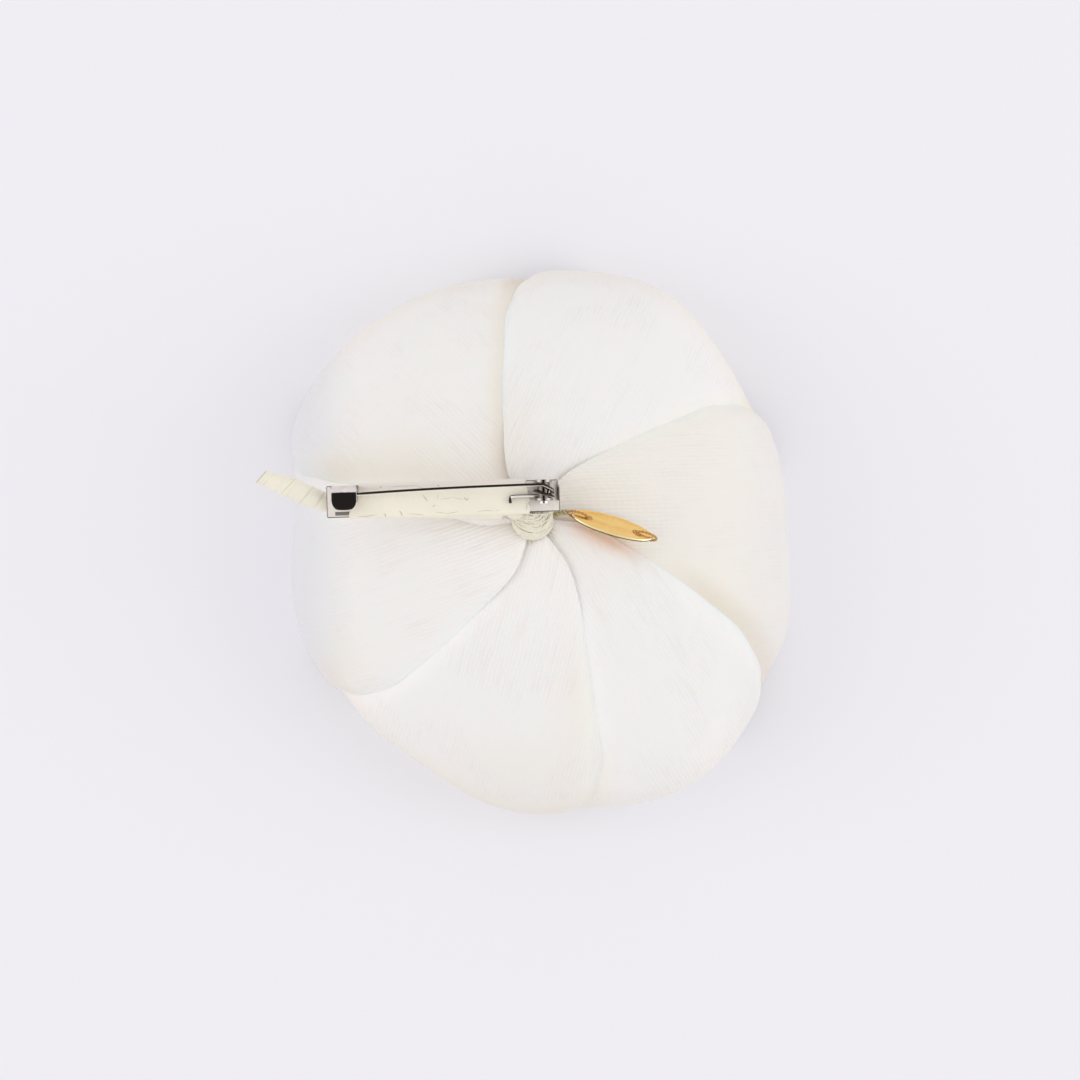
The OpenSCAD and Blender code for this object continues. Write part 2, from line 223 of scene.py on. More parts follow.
def cutAway(piece, cutter):
    modify(piece, "BOOLEAN", object=cutter, operation="DIFFERENCE", solver="EXACT")
    bpy.data.objects.remove(cutter)


def finishPiece(piece, name, nodes, material, sharp=None, place=None, body="brooch"):
    # a piece is modelled in mm, in its own frame where it has one, and ends in metres in the part's frame
    if place is not None:
        piece.data.transform(place)
    piece.data.transform(Matrix.Diagonal((mm, mm, mm, 1)))
    piece.name = piece.data.name = name
    piece.data.materials.clear()
    piece.data.materials.append(material)
    activate(piece)
    bpy.ops.object.shade_smooth()
    if sharp:
        bpy.ops.object.shade_smooth_by_angle(angle=math.radians(sharp))
    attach(piece, body)
    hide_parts(*nodes)
    return piece


def gather(first, others):  # joins copies and parts into one mesh
    activate(first)
    for other in others:
        other.select_set(True)
    bpy.ops.object.join()
    return first


def gridOf(across, along, where):  # a grid whose points are placed by where(u, v), u and v from 0 to 1
    startAlone()
    bpy.ops.mesh.primitive_grid_add(x_subdivisions=across, y_subdivisions=along, size=2)
    piece = bpy.context.object
    marks = [((p.co.x + 1) / 2, (p.co.y + 1) / 2) for p in piece.data.vertices]
    for point, mark in zip(piece.data.vertices, marks):
        point.co = where(*mark)
    return piece, marks


def setMap(piece, values):  # the UV map, from one pair of numbers for each point
    layer = piece.data.uv_layers.active
    for loop in piece.data.loops:
        layer.data[loop.index].uv = values[loop.vertex_index]


def setPaint(piece, name, values):  # a number for each point, or one for all of them
    if isinstance(values, float):
        values = [values] * len(piece.data.vertices)
    piece.data.attributes.new(name, "FLOAT", "POINT").data.foreach_set("value", values)


def heading(degrees):  # a level direction of length 1
    return Vector((math.cos(math.radians(degrees)), math.sin(math.radians(degrees)), 0))


def eased(value, low, high):
    share = min(max((value - low) / (high - low), 0), 1)
    return share * share * (3 - 2 * share)


def curved(near, t):  # between the second and the third of four numbers, smooth with the outer two
    a, b, c, d = near
    return 0.5 * (2 * b + (c - a) * t + (2 * a - 5 * b + 4 * c - d) * t * t
                  + (3 * b - a - 3 * c + d) * t ** 3)


def through(points, steps):  # a smooth curve through points of any size
    out = []
    for i in range(len(points) - 1):
        near = [points[min(max(i + k, 0), len(points) - 1)] for k in (-1, 0, 1, 2)]
        out += [tuple(curved(four, s / steps) for four in zip(*near)) for s in range(steps)]
    return out + [tuple(points[-1])]


def framesAlong(path, upright, closed=False):
    frames = []
    for i, point in enumerate(path):
        before = path[i - 1] if i or closed else path[0]
        after = path[(i + 1) % len(path)] if i < len(path) - 1 or closed else path[-1]
        along = (Vector(after[:3]) - Vector(before[:3])).normalized()
        side = (upright - along * upright.dot(along)).normalized()
        frames.append((Vector(point[:3]), side, along.cross(side)))
    return frames


def tubeAlong(path, radius, sides, upright=Vector((0, 0, 1)), closed=False):
    # radius is a number or a function of the share along the path and the turn round it, both 0 to 1
    reach = radius if callable(radius) else (lambda share, turn: radius)
    frames = framesAlong(path, upright, closed)
    last = len(frames) if closed else len(frames) - 1
    travel = [0.0]
    for i in range(1, last + 1):
        travel.append(travel[-1] + (frames[i % len(frames)][0] - frames[i - 1][0]).length)

    def where(u, v):
        centre, side, up = frames[round(v * last) % len(frames)]
        turn = 2 * math.pi * u
        return centre + reach(v, u) * (side * math.cos(turn) + up * math.sin(turn))

    piece, marks = gridOf(sides, last, where)
    setMap(piece, [(u, travel[round(v * last)]) for u, v in marks])
    weld(piece, 0.001)
    if not closed:
        inEdit(piece, lambda shape: None, bpy.ops.mesh.select_non_manifold,
               lambda: bpy.ops.mesh.fill_holes(sides=0))
    return piece


def twistedPlies(path, upright, plyRadius, pitch, closed=False, plies=2):
    # each ply winds round the path, and the path's points lie close enough to carry the winding
    frames = framesAlong(path, upright, closed)
    total = sum((frames[i][0] - frames[i - 1][0]).length for i in range(0 if closed else 1, len(frames)))
    turns = max(round(total / pitch), 1) if closed else total / pitch
    made = []
    for ply in range(plies):
        strand = []
        for i, (centre, side, up) in enumerate(frames):
            share = i / (len(frames) if closed else len(frames) - 1)
            angle = 2 * math.pi * (turns * share + ply / plies)
            strand.append(tuple(centre + plyRadius * (side * math.cos(angle) + up * math.sin(angle))))
        made.append(tubeAlong(strand, plyRadius, 8, upright, closed))
    return gather(made[0], made[1:])


# Camera, floor and light. The camera's lengths are in mm: "wide" is what it sees at the height "level".
picture = {"axis": (2.25, 0.45), "height": 1020.0, "level": 20.0, "wide": 179.1, "sensor": 36.0}
bpy.ops.object.camera_add(location=[value * mm for value in (*picture["axis"], picture["height"])],
                          rotation=(0, 0, 0))
camera = bpy.context.object
camera.name = "overhead"
camera.data.sensor_width = picture["sensor"]
camera.data.lens = picture["sensor"] * (picture["height"] - picture["level"]) / picture["wide"]
camera.data.clip_start = 0.01
bpy.context.scene.camera = camera

studio = {
    "floor": (241, 239, 244), "floorWide": 6, "cloud": 1.5,  # tone, and how much its clouds are darker
    "fill": 0.4,                                             # share of the floor's light that is its own
    "sky": 0.90, "darkFrom": 0.93, "darkTo": 0.97,           # its strength, and where its dark cap starts
    "lamps": {"sideBoxLeft": (-0.95, 2.35), "sideBoxRight": (0.95, 2.75)},  # place along X in m, power
    "lampHeight": 0.62, "lampSize": (0.7, 0.9), "aim": (0, 0, 0.02),
}
bpy.context.scene.view_settings.view_transform = "Standard"
bpy.context.scene.view_settings.look = "None"

startAlone()
bpy.ops.mesh.primitive_plane_add(size=studio["floorWide"], location=(0, 0, 0))
floor = bpy.context.object
floor.name = "floor"


def floorShader(net):  # part of the floor's light is its own, so that shadows on it stay soft
    cloud = net.noise(net.coord("Object"), 3, 3)
    glowing = [tone(*[c - less for c in studio["floor"]]) for less in (0, studio["cloud"])]
    lit = [(*[c * (1 - studio["fill"]) for c in colour[:3]], 1) for colour in glowing]
    return {"Base Color": cloud.mixed(*lit), "Emission Color": cloud.mixed(*glowing)}


floor.data.materials.append(makeMaterial("paperFloor", floorShader, Roughness=0.8, Specular_IOR_Level=0.2,
                                         Emission_Strength=studio["fill"]))

sky = bpy.data.worlds.new("tent")
bpy.context.scene.world = sky
sky.use_nodes = True
net = Net(sky.node_tree)
glow = net.node("ShaderNodeValToRGB", {"stops": [
    (0.0, (0.95, 0.95, 0.97, 1)), (studio["darkFrom"], (1, 1, 1, 1)),
    (studio["darkTo"], (0.02, 0.018, 0.018, 1))]}, {"Fac": net.coord("Generated").axis("Z")})
sky.node_tree.links.new(glow.socket, sky.node_tree.nodes["Background"].inputs["Color"])
sky.node_tree.nodes["Background"].inputs["Strength"].default_value = studio["sky"]

for name, (place, power) in studio["lamps"].items():
    bpy.ops.object.light_add(type="AREA", location=(place, 0.0, studio["lampHeight"]))
    lamp = bpy.context.object
    lamp.name = name
    lamp.data.shape = "RECTANGLE"
    lamp.data.size, lamp.data.size_y = studio["lampSize"]
    lamp.data.energy = power
    lamp.rotation_euler = (Vector(studio["aim"]) - lamp.location).to_track_quat("-Z", "Y").to_euler()
print("studio ready")


# Silk petals. Shares run from 0 at a petal's claw to 1 at its rim, and from its middle line to its edge.
silk = {
    # the cloth's tones: white and cream are its own, and cream and dusk also carry painted shade at the rims
    # and beside the edges; groove is painted shade in the weave's grooves, glow the painted light thrown by
    # the tag, and shade the painted shade on the flower's sides
    "white": (244, 241, 241), "cream": (241, 235, 226), "dusk": (226, 214, 197), "groove": (230, 221, 218),
    "glow": (243, 200, 178), "shade": (222, 222, 226),
    "lit": 0.075, "litTint": (1, 0.96, 0.95),        # painted glow that lifts the shade, standing for light through the cloth
    "fold": 0.2, "bump": 0.35,                       # depth of the weave in mm, and strength of its bump
    # the weave has ribs along the petal and bands across it (scale, distortion, detail, scale of that),
    # and noises stretched along it; then how high the ribs, the bands and the grain stand, and the
    # grooves of the ribs and of the grain, darkened with painted shade (from, full from, depth)
    "ribs": (0.47, 3.0, 1.0, 0.5), "cross": (0.3, 4.0, 1.0, 0.6), "grain": (1.1, 0.14, 1),
    "hatch": (1.9, 1.2, 1), "mottle": 0.12, "patches": 0.085, "patchy": (0.46, 0.62),
    "heights": (0.6, 0.3, 0.6), "grooves": ((0.5, 0.1, 0.22), (0.48, 0.34, 0.25)),
    "worn": (0.6, 0.5, 0.15),                        # how the weave shows: gathers, patches, everywhere
    "gathers": (0.05, 0.34),                         # shares between which the gathers fade out
    "waves": ((0.45, 2.6, 1.7), (0.12, 9, 3.5)),     # in the cloth: height, how often round and along
    "wavesFrom": 0.3, "waveSeed": 30,
    "crowd": 0.35,                                   # how much columns of faces close up at the edges
    "soft": 0.75, "lie": 0.88, "lieFrom": 0.25,      # a free edge bends down: from, by mm, and full from
    "edge": 0.12, "edgeWide": 0.16,                  # thickness left at an edge, and where it thins
    "rim": 0.4, "rimWide": 0.1,                      # the same at the rim
    "unfolded": 1.25, "mapStep": 60,                 # length of the map, and its step to the next petal
}


def silkShader(net):
    place = net.coord("UV")
    light = net.paint("light")
    ribs = net.bands(place, "X", *silk["ribs"])
    cross = net.bands(place, "Y", *silk["cross"])
    grain = net.noise(place, 1.0, 2, silk["grain"])
    hatch = net.noise(place, 1.0, 1, silk["hatch"])
    patches = net.noise(place, silk["patches"], 2).between(*silk["patchy"])
    worn = net.paint("gather") * silk["worn"][0] + patches * silk["worn"][1] + silk["worn"][2]
    onRibs, onCross, onGrain = (part * high for part, high in zip((ribs, cross, grain), silk["heights"]))
    height = (onRibs + onCross + onGrain) * worn
    # the weave's grooves are darkened with painted shade
    inRibs, inGrain = (part.between(*edges) * depth
                       for part, (*edges, depth) in zip((ribs, grain), silk["grooves"]))
    groove = (inRibs + inGrain) * worn
    spread = net.paint("stain") + (hatch - 0.5) * silk["mottle"]
    body = spread.mixed(tone(*silk["white"]), tone(*silk["cream"]))
    body = (spread - 1).mixed(body, tone(*silk["dusk"]))
    body = (net.paint("glow") * (hatch + 0.5)).mixed(body, tone(*silk["glow"]))
    # painted shade on the flower's sides where "light" is below none; above none it is a painted glow
    # (emission) that lifts the shade
    body = (0 - light).mixed(body, tone(*silk["shade"]))
    return {"Base Color": groove.mixed(body, tone(*silk["groove"])),
            "Emission Color": light.mixed((0, 0, 0, 1), (*[silk["lit"] * c for c in silk["litTint"]], 1)),
            "Normal": net.bump(height, silk["fold"] * mm, silk["bump"])}


silkMaterial = makeMaterial("silk", silkShader, Roughness=0.62, Emission_Strength=1.0,
                            Specular_IOR_Level=0.25, Sheen_Weight=0.12, Sheen_Roughness=0.4,
                            Subsurface_Weight=0.12, Subsurface_Scale=0.002)

# "under" is in steps of clawPitch below the outer claws, "rim" is the height of the rim as a share of the
# flower's, "end" and "first" are in degrees, "mesh" in faces, and "cut" is the flat cloth in mm
ringKeys = ("name", "count", "reach", "under", "rim", "end", "first", "widen", "mesh", "cut")
rings = [dict(zip(ringKeys, row)) for row in (
    ("outer", 6, 1, 0, 0.008, 100, 130, 1, (40, 44), (44, 52)),
    ("second", 6, 0.86, 1, 0.05, 86, 98, 1, (22, 26), (32, 40)),
    ("third", 5, 0.71, 1.95, 0.08, 80, 30, 1, (20, 24), (29, 33)),
    ("inner", 5, 0.55, 2.85, 0.1, 78, 66, 1.05, (18, 20), (23, 26)),
    ("heart", 4, 0.355, 3.8, 0.12, 80, 15, 1.1, (16, 18), (18, 20)),
    ("bud", 3, 0.19, 4.9, 0.13, 135, 80, 1.1, (16, 18), (13, 17)),
)]
# for each outer petal: its turn from an even spacing, in degrees, and by how much the edge that lies on
# its neighbour spreads towards the rim, as a share of the step between petals
outerTurns = (5, 9, 4, -9, -9, -4)
outerSpreads = (0.15, 0, 0.045, 0, 0.03, 0.03)
spreading = (0.35, 0.95)

# stain and painted shade on each outer petal, from 0 white over 1 cream to 2 dusk: all over, at its rim as
# painted shade where it turns down, and along the neighbour's edge that lies on it as painted shadow, with
# the width of that band in mm and the share from which it starts; the painted glow beside that edge; and
# spots of cream and painted shade at places in mm from the flower's axis, with their spreads and strengths.
# The last row is for the petals of all the other rings.
stainAndShadeKeys = ("all", "rim", "beside", "wide", "from", "through", "spots")
stainsAndShade = [dict(zip(stainAndShadeKeys, row)) for row in (
    (0.3, 0.7, 0.9, 2.1, 0.0, 0.1, ((-34, 7, 6, 5, 1.1), (-20, 9, 10, 4.5, 0.6), (-7, 10, 3, 7, 0.4))),
    (0.25, 0.4, 0.5, 1.0, 0.0, 0.5, ((-33, -25, 5, 7, 0.9), (-4.5, -1.5, 2.5, 2, 0.3))),
    (0.2, 0.8, 0.1, 1.0, 0.0, 0.8, ((8, -30, 4, 10, 0.6), (-2, -42, 15, 6, 0.5))),
    (0.2, 0.4, 0.6, 1.4, 0.5, 0.6, ((10, -5, 6, 4, 0.2),)),
    (0.85, 0.2, 0.8, 2.6, 0.28, 0.1, ((9, 4, 7, 4, 0.2),)),
    (0.2, 0.7, 0.4, 0.9, 0.0, 0.5, ((-3, 13, 5, 7, 0.5),)),
    (0.35, 0.3, 0.4, 1.0, 0.0, 0.0, ()),
)]
plainStainAndShade = stainsAndShade.pop()
# the rim's band of painted shade runs between these shares, and a paler band ends at the claw
stainAndShadeBands = {"rim": (0.62, 0.84), "claw": 0.25, "clawWide": 0.1, "start": 0.1}


def reachAt(azimuth):
    place = azimuth % 360 / 30
    i, share = int(place), (1 - math.cos(math.pi * (place % 1))) / 2
    reach = flower["reach"]
    return flower["radius"] * (reach[i % 12] * (1 - share) + reach[(i + 1) % 12] * share)


def powered(value):
    return math.copysign(abs(value) ** flower["exponent"], value)


def edgeAt(share, edge):  # smooth through the tabled half-angles
    shares = flower["share"]
    i = max(k for k in range(len(shares) - 1) if shares[k] <= share)
    t = (share - shares[i]) / (shares[i + 1] - shares[i])
    near = [edge[min(max(i + k, 0), len(edge) - 1)] for k in (-1, 0, 1, 2)]
    return min(max(curved(near, t), min(near[1:3])), max(near[1:3]))


def bowlPoint(ring, azimuth, down, out):
    exponent, turn = flower["exponent"], math.radians(azimuth)
    across, fallen = math.sin(math.radians(down)), math.cos(math.radians(down))
    top = flower["height"] - ring["under"] * flower["clawPitch"]
    drop = (top - flower["height"] * ring["rim"]) / (1 - powered(math.cos(math.radians(ring["end"]))))
    wide = ring["reach"] * reachAt(azimuth)
    slope = Vector((across ** (2 - exponent) / wide,
                    math.copysign(abs(fallen) ** (2 - exponent), fallen) / drop)).normalized()
    rho = wide * powered(across) + out * slope.x
    return Vector((rho * math.cos(turn), rho * math.sin(turn),
                   top - drop * (1 - powered(fallen)) + out * slope.y))


ballRadius = 3.4
clawsInBall = 0.5


def clawAngle(ring, azimuth):  # the outer claws run on into the ball, so that it closes over them
    start = flower["seat"] + stemWire["neck"] + flower["silk"] / 2
    if ring["under"] == 0:
        start = ballRadius - clawsInBall
    return math.degrees(math.asin((start / (ring["reach"] * reachAt(azimuth))) ** (1 / flower["exponent"])))


def middleOf(ring, index):
    turn = outerTurns[index % ring["count"]] if ring["under"] == 0 else 0
    return ring["first"] + 360 / ring["count"] * index + turn


# light thrown on the silk by the tag: places in mm from the flower's axis, with their spreads and
# strengths; they lean as the tag does
glows = ((8.2, -2.0, 2.6, 1.5, 0.35), (11.5, -3.4, 2.8, 1.5, 0.45), (15.0, -4.7, 2.8, 1.4, 0.35))
glowLean = 0.4


def spotAt(x, y, wide, deep, amount):
    return amount * math.exp(-(x / wide) ** 2 - (y / deep) ** 2)


def glowAt(x, y):
    return sum(spotAt(x - x0, y - y0 + glowLean * (x - x0), *spot) for x0, y0, *spot in glows)


# painted glow (emission) that lifts the shade, standing for light through the cloth, as shares of silk's
# "lit",
# with the mm over which each part fades: at the flower's middle, beside an edge that lies on the petal, at
# the petal's own edge, and round the bar; less than none is painted shade on the flower's left and right
# sides
paintedGlowAndShade = {
    "middle": 0.75, "middleWide": 13, "besideWide": 1.2, "own": 0.35, "ownFrom": 0.75,
    "outward": 0.5, "outwardFrom": 0.4, "outwardTo": 0.8,
    "bar": 0.7, "barY": 3.6, "barDeep": (4.5, 3), "barLeft": (-34, -30), "barRight": (-5, -3),
    "left": 0.85, "leftFrom": (28, 39), "right": 0.4, "rightFrom": (30, 42),
}


def lightAt(beside, x, y, u, along, away):
    p = paintedGlowAndShade
    middle = p["middle"] * math.exp(-(math.hypot(x, y) / p["middleWide"]) ** 2)
    edges = beside * (math.exp(-away / p["besideWide"]) if away > 0 else 1)
    edges = max(edges, p["own"] * eased(u, p["ownFrom"], 1))
    edges *= 1 - p["outward"] * eased(along, p["outwardFrom"], p["outwardTo"])
    deep, fade = p["barDeep"]
    bar = p["bar"] * eased(deep - abs(y - p["barY"]), 0, fade)
    bar *= eased(-x, *p["barRight"]) * eased(x, *p["barLeft"])
    shade = p["left"] * eased(-x, *p["leftFrom"]) + p["right"] * eased(x, *p["rightFrom"])
    return min(max(middle, edges, bar), 1) - shade


def overAt(ring, index, along):  # half-angle of a petal's edge that lies on its neighbour
    spread = outerSpreads[index] if ring["under"] == 0 else 0
    return edgeAt(along, flower["overEdge"]) + spread * eased(along, *spreading)


# cream tint with painted shade at the rim, painted shadow beside the neighbour's edge, and spots
def stainAndShadeAt(stain, x, y, along, away):
    value = stain["all"] + stain["rim"] * eased(along, *stainAndShadeBands["rim"])
    value += stainAndShadeBands["claw"] * eased(-along, -stainAndShadeBands["clawWide"], 0)
    band = math.exp(-(away / stain["wide"]) ** 2) if away > 0 else 1
    start = stain["from"]
    value += stain["beside"] * band * eased(along, start - stainAndShadeBands["start"], start + stainAndShadeBands["start"])
    return value + sum(spotAt(x - x0, y - y0, *spot) for x0, y0, *spot in stain["spots"])


def makePetal(ring, index):
    outer = ring["under"] == 0
    step = 360 / ring["count"]
    even = ring["first"] + step * index
    middle = middleOf(ring, index)

    def turned(across):  # columns close up towards both edges
        t = 1 - 2 * across
        return t * (1 + silk["crowd"] - silk["crowd"] * t * t)

    def azimuthAt(u, along):
        edge = edgeAt(along, flower["tuckedEdge"]) if u < 0 and outer else overAt(ring, index, along)
        return middle + u * step * ring["widen"] * edge

    def where(across, along):
        u = turned(across)
        azimuth = azimuthAt(u, along)
        start = clawAngle(ring, azimuth)
        corner = flower["tuckedRound"] if u < 0 and outer else 1
        end = ring["end"] - flower["rimRound"] * abs(u) ** 3 * corner
        out = flower["layer"] * (azimuth - even) / step
        out -= silk["lie"] * eased(u, silk["soft"], 1) * eased(along, 0.0, silk["lieFrom"])
        # the cloth waves alike in all the petals of a ring, so that they stay clear of each other
        seed = ring["reach"] * silk["waveSeed"]
        wave = sum(high * noise.noise(heading(azimuth) * often + Vector((0, 0, along * slow + seed)))
                   for high, often, slow in silk["waves"])
        out += wave * eased(along, 0, silk["wavesFrom"])
        return bowlPoint(ring, azimuth, start + along * (end - start), out)

    piece, marks = gridOf(*ring["mesh"], where)
    # the map is in mm on the flat petal: across from its middle line, and along from its claw
    length = (where(0.5, 1) - where(0.5, 0)).length * silk["unfolded"]
    setMap(piece, [((where(a, b) - where(0.5, b)).length * (1 if a > 0.5 else -1) + silk["mapStep"] * index,
                    b * length) for a, b in marks])
    paints = {"stain": [], "gather": [], "glow": [], "light": []}
    body = piece.vertex_groups.new(name="body")
    stain = stainsAndShade[index] if outer else plainStainAndShade
    for i, (a, b) in enumerate(marks):
        u = turned(a)
        x, y, _ = where(a, b)
        over = middleOf(ring, index - 1) + step * ring["widen"] * overAt(ring, index - 1, b)
        away = math.radians(azimuthAt(u, b) - over) * math.hypot(x, y)
        paints["stain"].append(stainAndShadeAt(stain, x, y, b, away))
        paints["gather"].append(1 - eased(b, *silk["gathers"]))
        paints["glow"].append(glowAt(x, y) if outer else 0.0)
        paints["light"].append(lightAt(stain["through"], x, y, u, b, away) if outer else 0.0)
        thick = silk["edge"] + (1 - silk["edge"]) * eased(1 - abs(u), 0.0, silk["edgeWide"])
        atRim = silk["rim"] + (1 - silk["rim"]) * eased(1 - b, 0, silk["rimWide"])
        body.add([i], min(thick, atRim), "REPLACE")
    for name, values in paints.items():
        setPaint(piece, name, values)
    modify(piece, "SOLIDIFY", thickness=flower["silk"], offset=0, vertex_group="body")
    modify(piece, "SUBSURF", levels=1)
    finishPiece(piece, f"{ring['name']}Petal{index + 1}", [f"{ring['name']}_petal_{index + 1}"],
                silkMaterial, place=flowerFrame)


for ring in rings:
    for index in range(ring["count"]):
        makePetal(ring, index)
    print(ring["name"], "petals ready")

# The rolled middle of the bud, over the end of the stem: its folds run round it as a spiral
heart = {"wide": 4.2, "deep": 3.9, "z": 8.4, "arms": 2, "twist": 1.7, "fold": 0.16, "lap": 0.9,
         "flat": (0.02, 0.2)}


def makeHeart():
    bpy.ops.mesh.primitive_uv_sphere_add(segments=112, ring_count=56, radius=1)
    middle = settle(bpy.context.object)
    for point in middle.data.vertices:
        turn = math.atan2(point.co.y, point.co.x) / (2 * math.pi)
        polar = math.acos(min(max(-point.co.z, -1), 1)) / math.pi
        lap = (heart["arms"] * turn + heart["twist"] * polar) % 1
        grow = 1 - heart["fold"] * (1 - eased(lap, 0, heart["lap"])) * eased(polar, *heart["flat"])
        point.co = point.co * Vector((heart["wide"], heart["wide"], heart["deep"])) * grow
    place = flowerFrame @ Matrix.Translation((0, 0, heart["z"]))
    return finishPiece(middle, "rolledHeart", ["bud_petal_1"], silkMaterial, 50, place)


makeHeart()


# Paper tape on the stem and round the bar
paperTones = {
    # dark is the tone of painted shade in the creases and at the winding's seams, and of the paper's own
    # flecks
    "pale": (245, 238, 221), "warm": (240, 234, 217), "dark": (170, 154, 118), "bare": (233, 224, 216),
    "fine": 900, "broad": 160, "warmth": (0.35, 0.65),   # scales of its noises, and where it turns warm
    "fleck": 0.25, "flecks": (0.66, 0.8),                # strength, and the fine noise that shows
    "seam": 0.42, "seamWide": 0.07, "seamWander": 0.4,   # painted shade at the winding's seams: strength, and width and wandering in turns
    "seamPatches": (0.42, 0.66), "fold": 0.08, "bump": 0.6,
}


def paperShader(net):
    place = net.coord("Object")
    fine = net.noise(place, paperTones["fine"], 4)
    broad = net.noise(place, paperTones["broad"], 2)
    # painted shade at the seams of the winding, along the stem's own map
    marks = net.coord("UV")
    turns = marks.axis("X") + marks.axis("Y") / stemWire["wrapPitch"]
    edge = net.math("FRACT", turns + (broad - 0.5) * paperTones["seamWander"])
    seam = net.paint("wound") * edge.between(paperTones["seamWide"], 0.0)
    seam = seam * broad.between(*paperTones["seamPatches"])
    pale, warm, dark, bare = (tone(*paperTones[name]) for name in ("pale", "warm", "dark", "bare"))
    flecks = fine.between(*paperTones["flecks"])
    # painted shade in the creases and at the seams, with the paper's own flecks; on the stem the cut end is
    # painted darker
    shadeAndFlecks = net.paint("crease") + flecks * paperTones["fleck"] + seam * paperTones["seam"]
    worn = shadeAndFlecks.mixed(broad.between(*paperTones["warmth"]).mixed(pale, warm), dark)
    return {"Base Color": net.paint("bare").mixed(worn, bare),
            "Normal": net.bump(fine + broad * 0.5, paperTones["fold"] * mm, paperTones["bump"])}


paper = makeMaterial("paperTape", paperShader, Roughness=0.7, Specular_IOR_Level=0.25)


def barPoint(x, y, z):
    return barFrame @ Vector((x, y, z))


stemWire.update({
    # under the bar: share of the bar from the catch, and sideways in stem radii
    "under": ((0.76, -0.95), (0.66, -0.9), (0.45, -0.6), (0.25, -0.3), (0.13, 0), (0, 0)),
    # past it: along and sideways as shares of the free length, drop and radius as shares of the radius
    "past": ((-0.23, 0.09, 0, 1.09), (-0.47, 0.2, -0.1, 1.12), (-0.67, 0.28, -0.25, 0.95),
             (-0.94, 0.39, -0.4, 0.74)),
    # in the flower: place from its axis, and from the stem's height
    "start": ((0.6, -0.3, -0.6), (-1.8, 0.9, -0.1)),
    # the winding steps down over this share of a turn, and the paper is crumpled: height, along, round
    "ridge": 0.13, "step": 0.08, "crinkle": (0.05, 1.3, 1.2),
    # the cut end: how it leans, how far back it is, its tone, and what counts as on it
    "cutLean": (0.0, 0.45, 0.2), "cutBack": 0.55, "cutTone": 0.55, "onCut": -0.03,
    "neckSides": 32, "neckLength": 24, "neckDrop": 12.5, "neckSoft": 0.4,
})


def makeStem():
    r, free, low = stemWire["radius"], stemWire["free"], -stemWire["radius"] - flower["snug"]
    points = [(*(flowerFrame @ Vector((x, y, stemWire["z"] + rise))), r) for x, y, rise in stemWire["start"]]
    points += [(*barPoint(share * bar["length"], side * r, low), r) for share, side in stemWire["under"]]
    points += [(*barPoint(along * free, side * free, low + fall * r), wide * r)
               for along, side, fall, wide in stemWire["past"]]
    path = through(points, 22)
    length = sum((Vector(b[:3]) - Vector(a[:3])).length for a, b in zip(path, path[1:]))
    high, often, around = stemWire["crinkle"]

    def wrapped(share, turn):
        radius = path[round(share * (len(path) - 1))][3]
        phase = (share * length / stemWire["wrapPitch"] + turn) % 1
        edge = eased(phase, 0, stemWire["step"]) - phase
        angle = 2 * math.pi * turn
        rough = noise.noise(Vector((share * length * often, math.cos(angle) * around,
                                    math.sin(angle) * around)))
        return radius - stemWire["ridge"] + stemWire["ridge"] * edge + high * rough

    tube = tubeAlong(path, wrapped, stemWire["sides"], Vector((0, 1, 0)))
    setPaint(tube, "wound", 1.0)
    tip = Vector(path[-1][:3])
    lean = (tip - Vector(path[-4][:3])).normalized() + Vector(stemWire["cutLean"])
    cut = tip - lean.normalized() * stemWire["cutBack"]
    inEdit(tube, everything, lambda: bpy.ops.mesh.bisect(
        plane_co=cut, plane_no=lean, use_fill=True, clear_outer=True))
    setPaint(tube, "crease", [stemWire["cutTone"] if (p.co - cut).dot(lean) > stemWire["onCut"] else 0.0
                              for p in tube.data.vertices])
    neck = cylinderOf(stemWire["neckSides"], stemWire["neck"], stemWire["neckLength"],
                      (*flower["at"], stemWire["z"] - stemWire["neckDrop"]))
    soften(neck, stemWire["neckSoft"])
    divide(neck, 3)
    return finishPiece(gather(tube, [neck]), "wrappedStem", ["stem"], paper, 60)


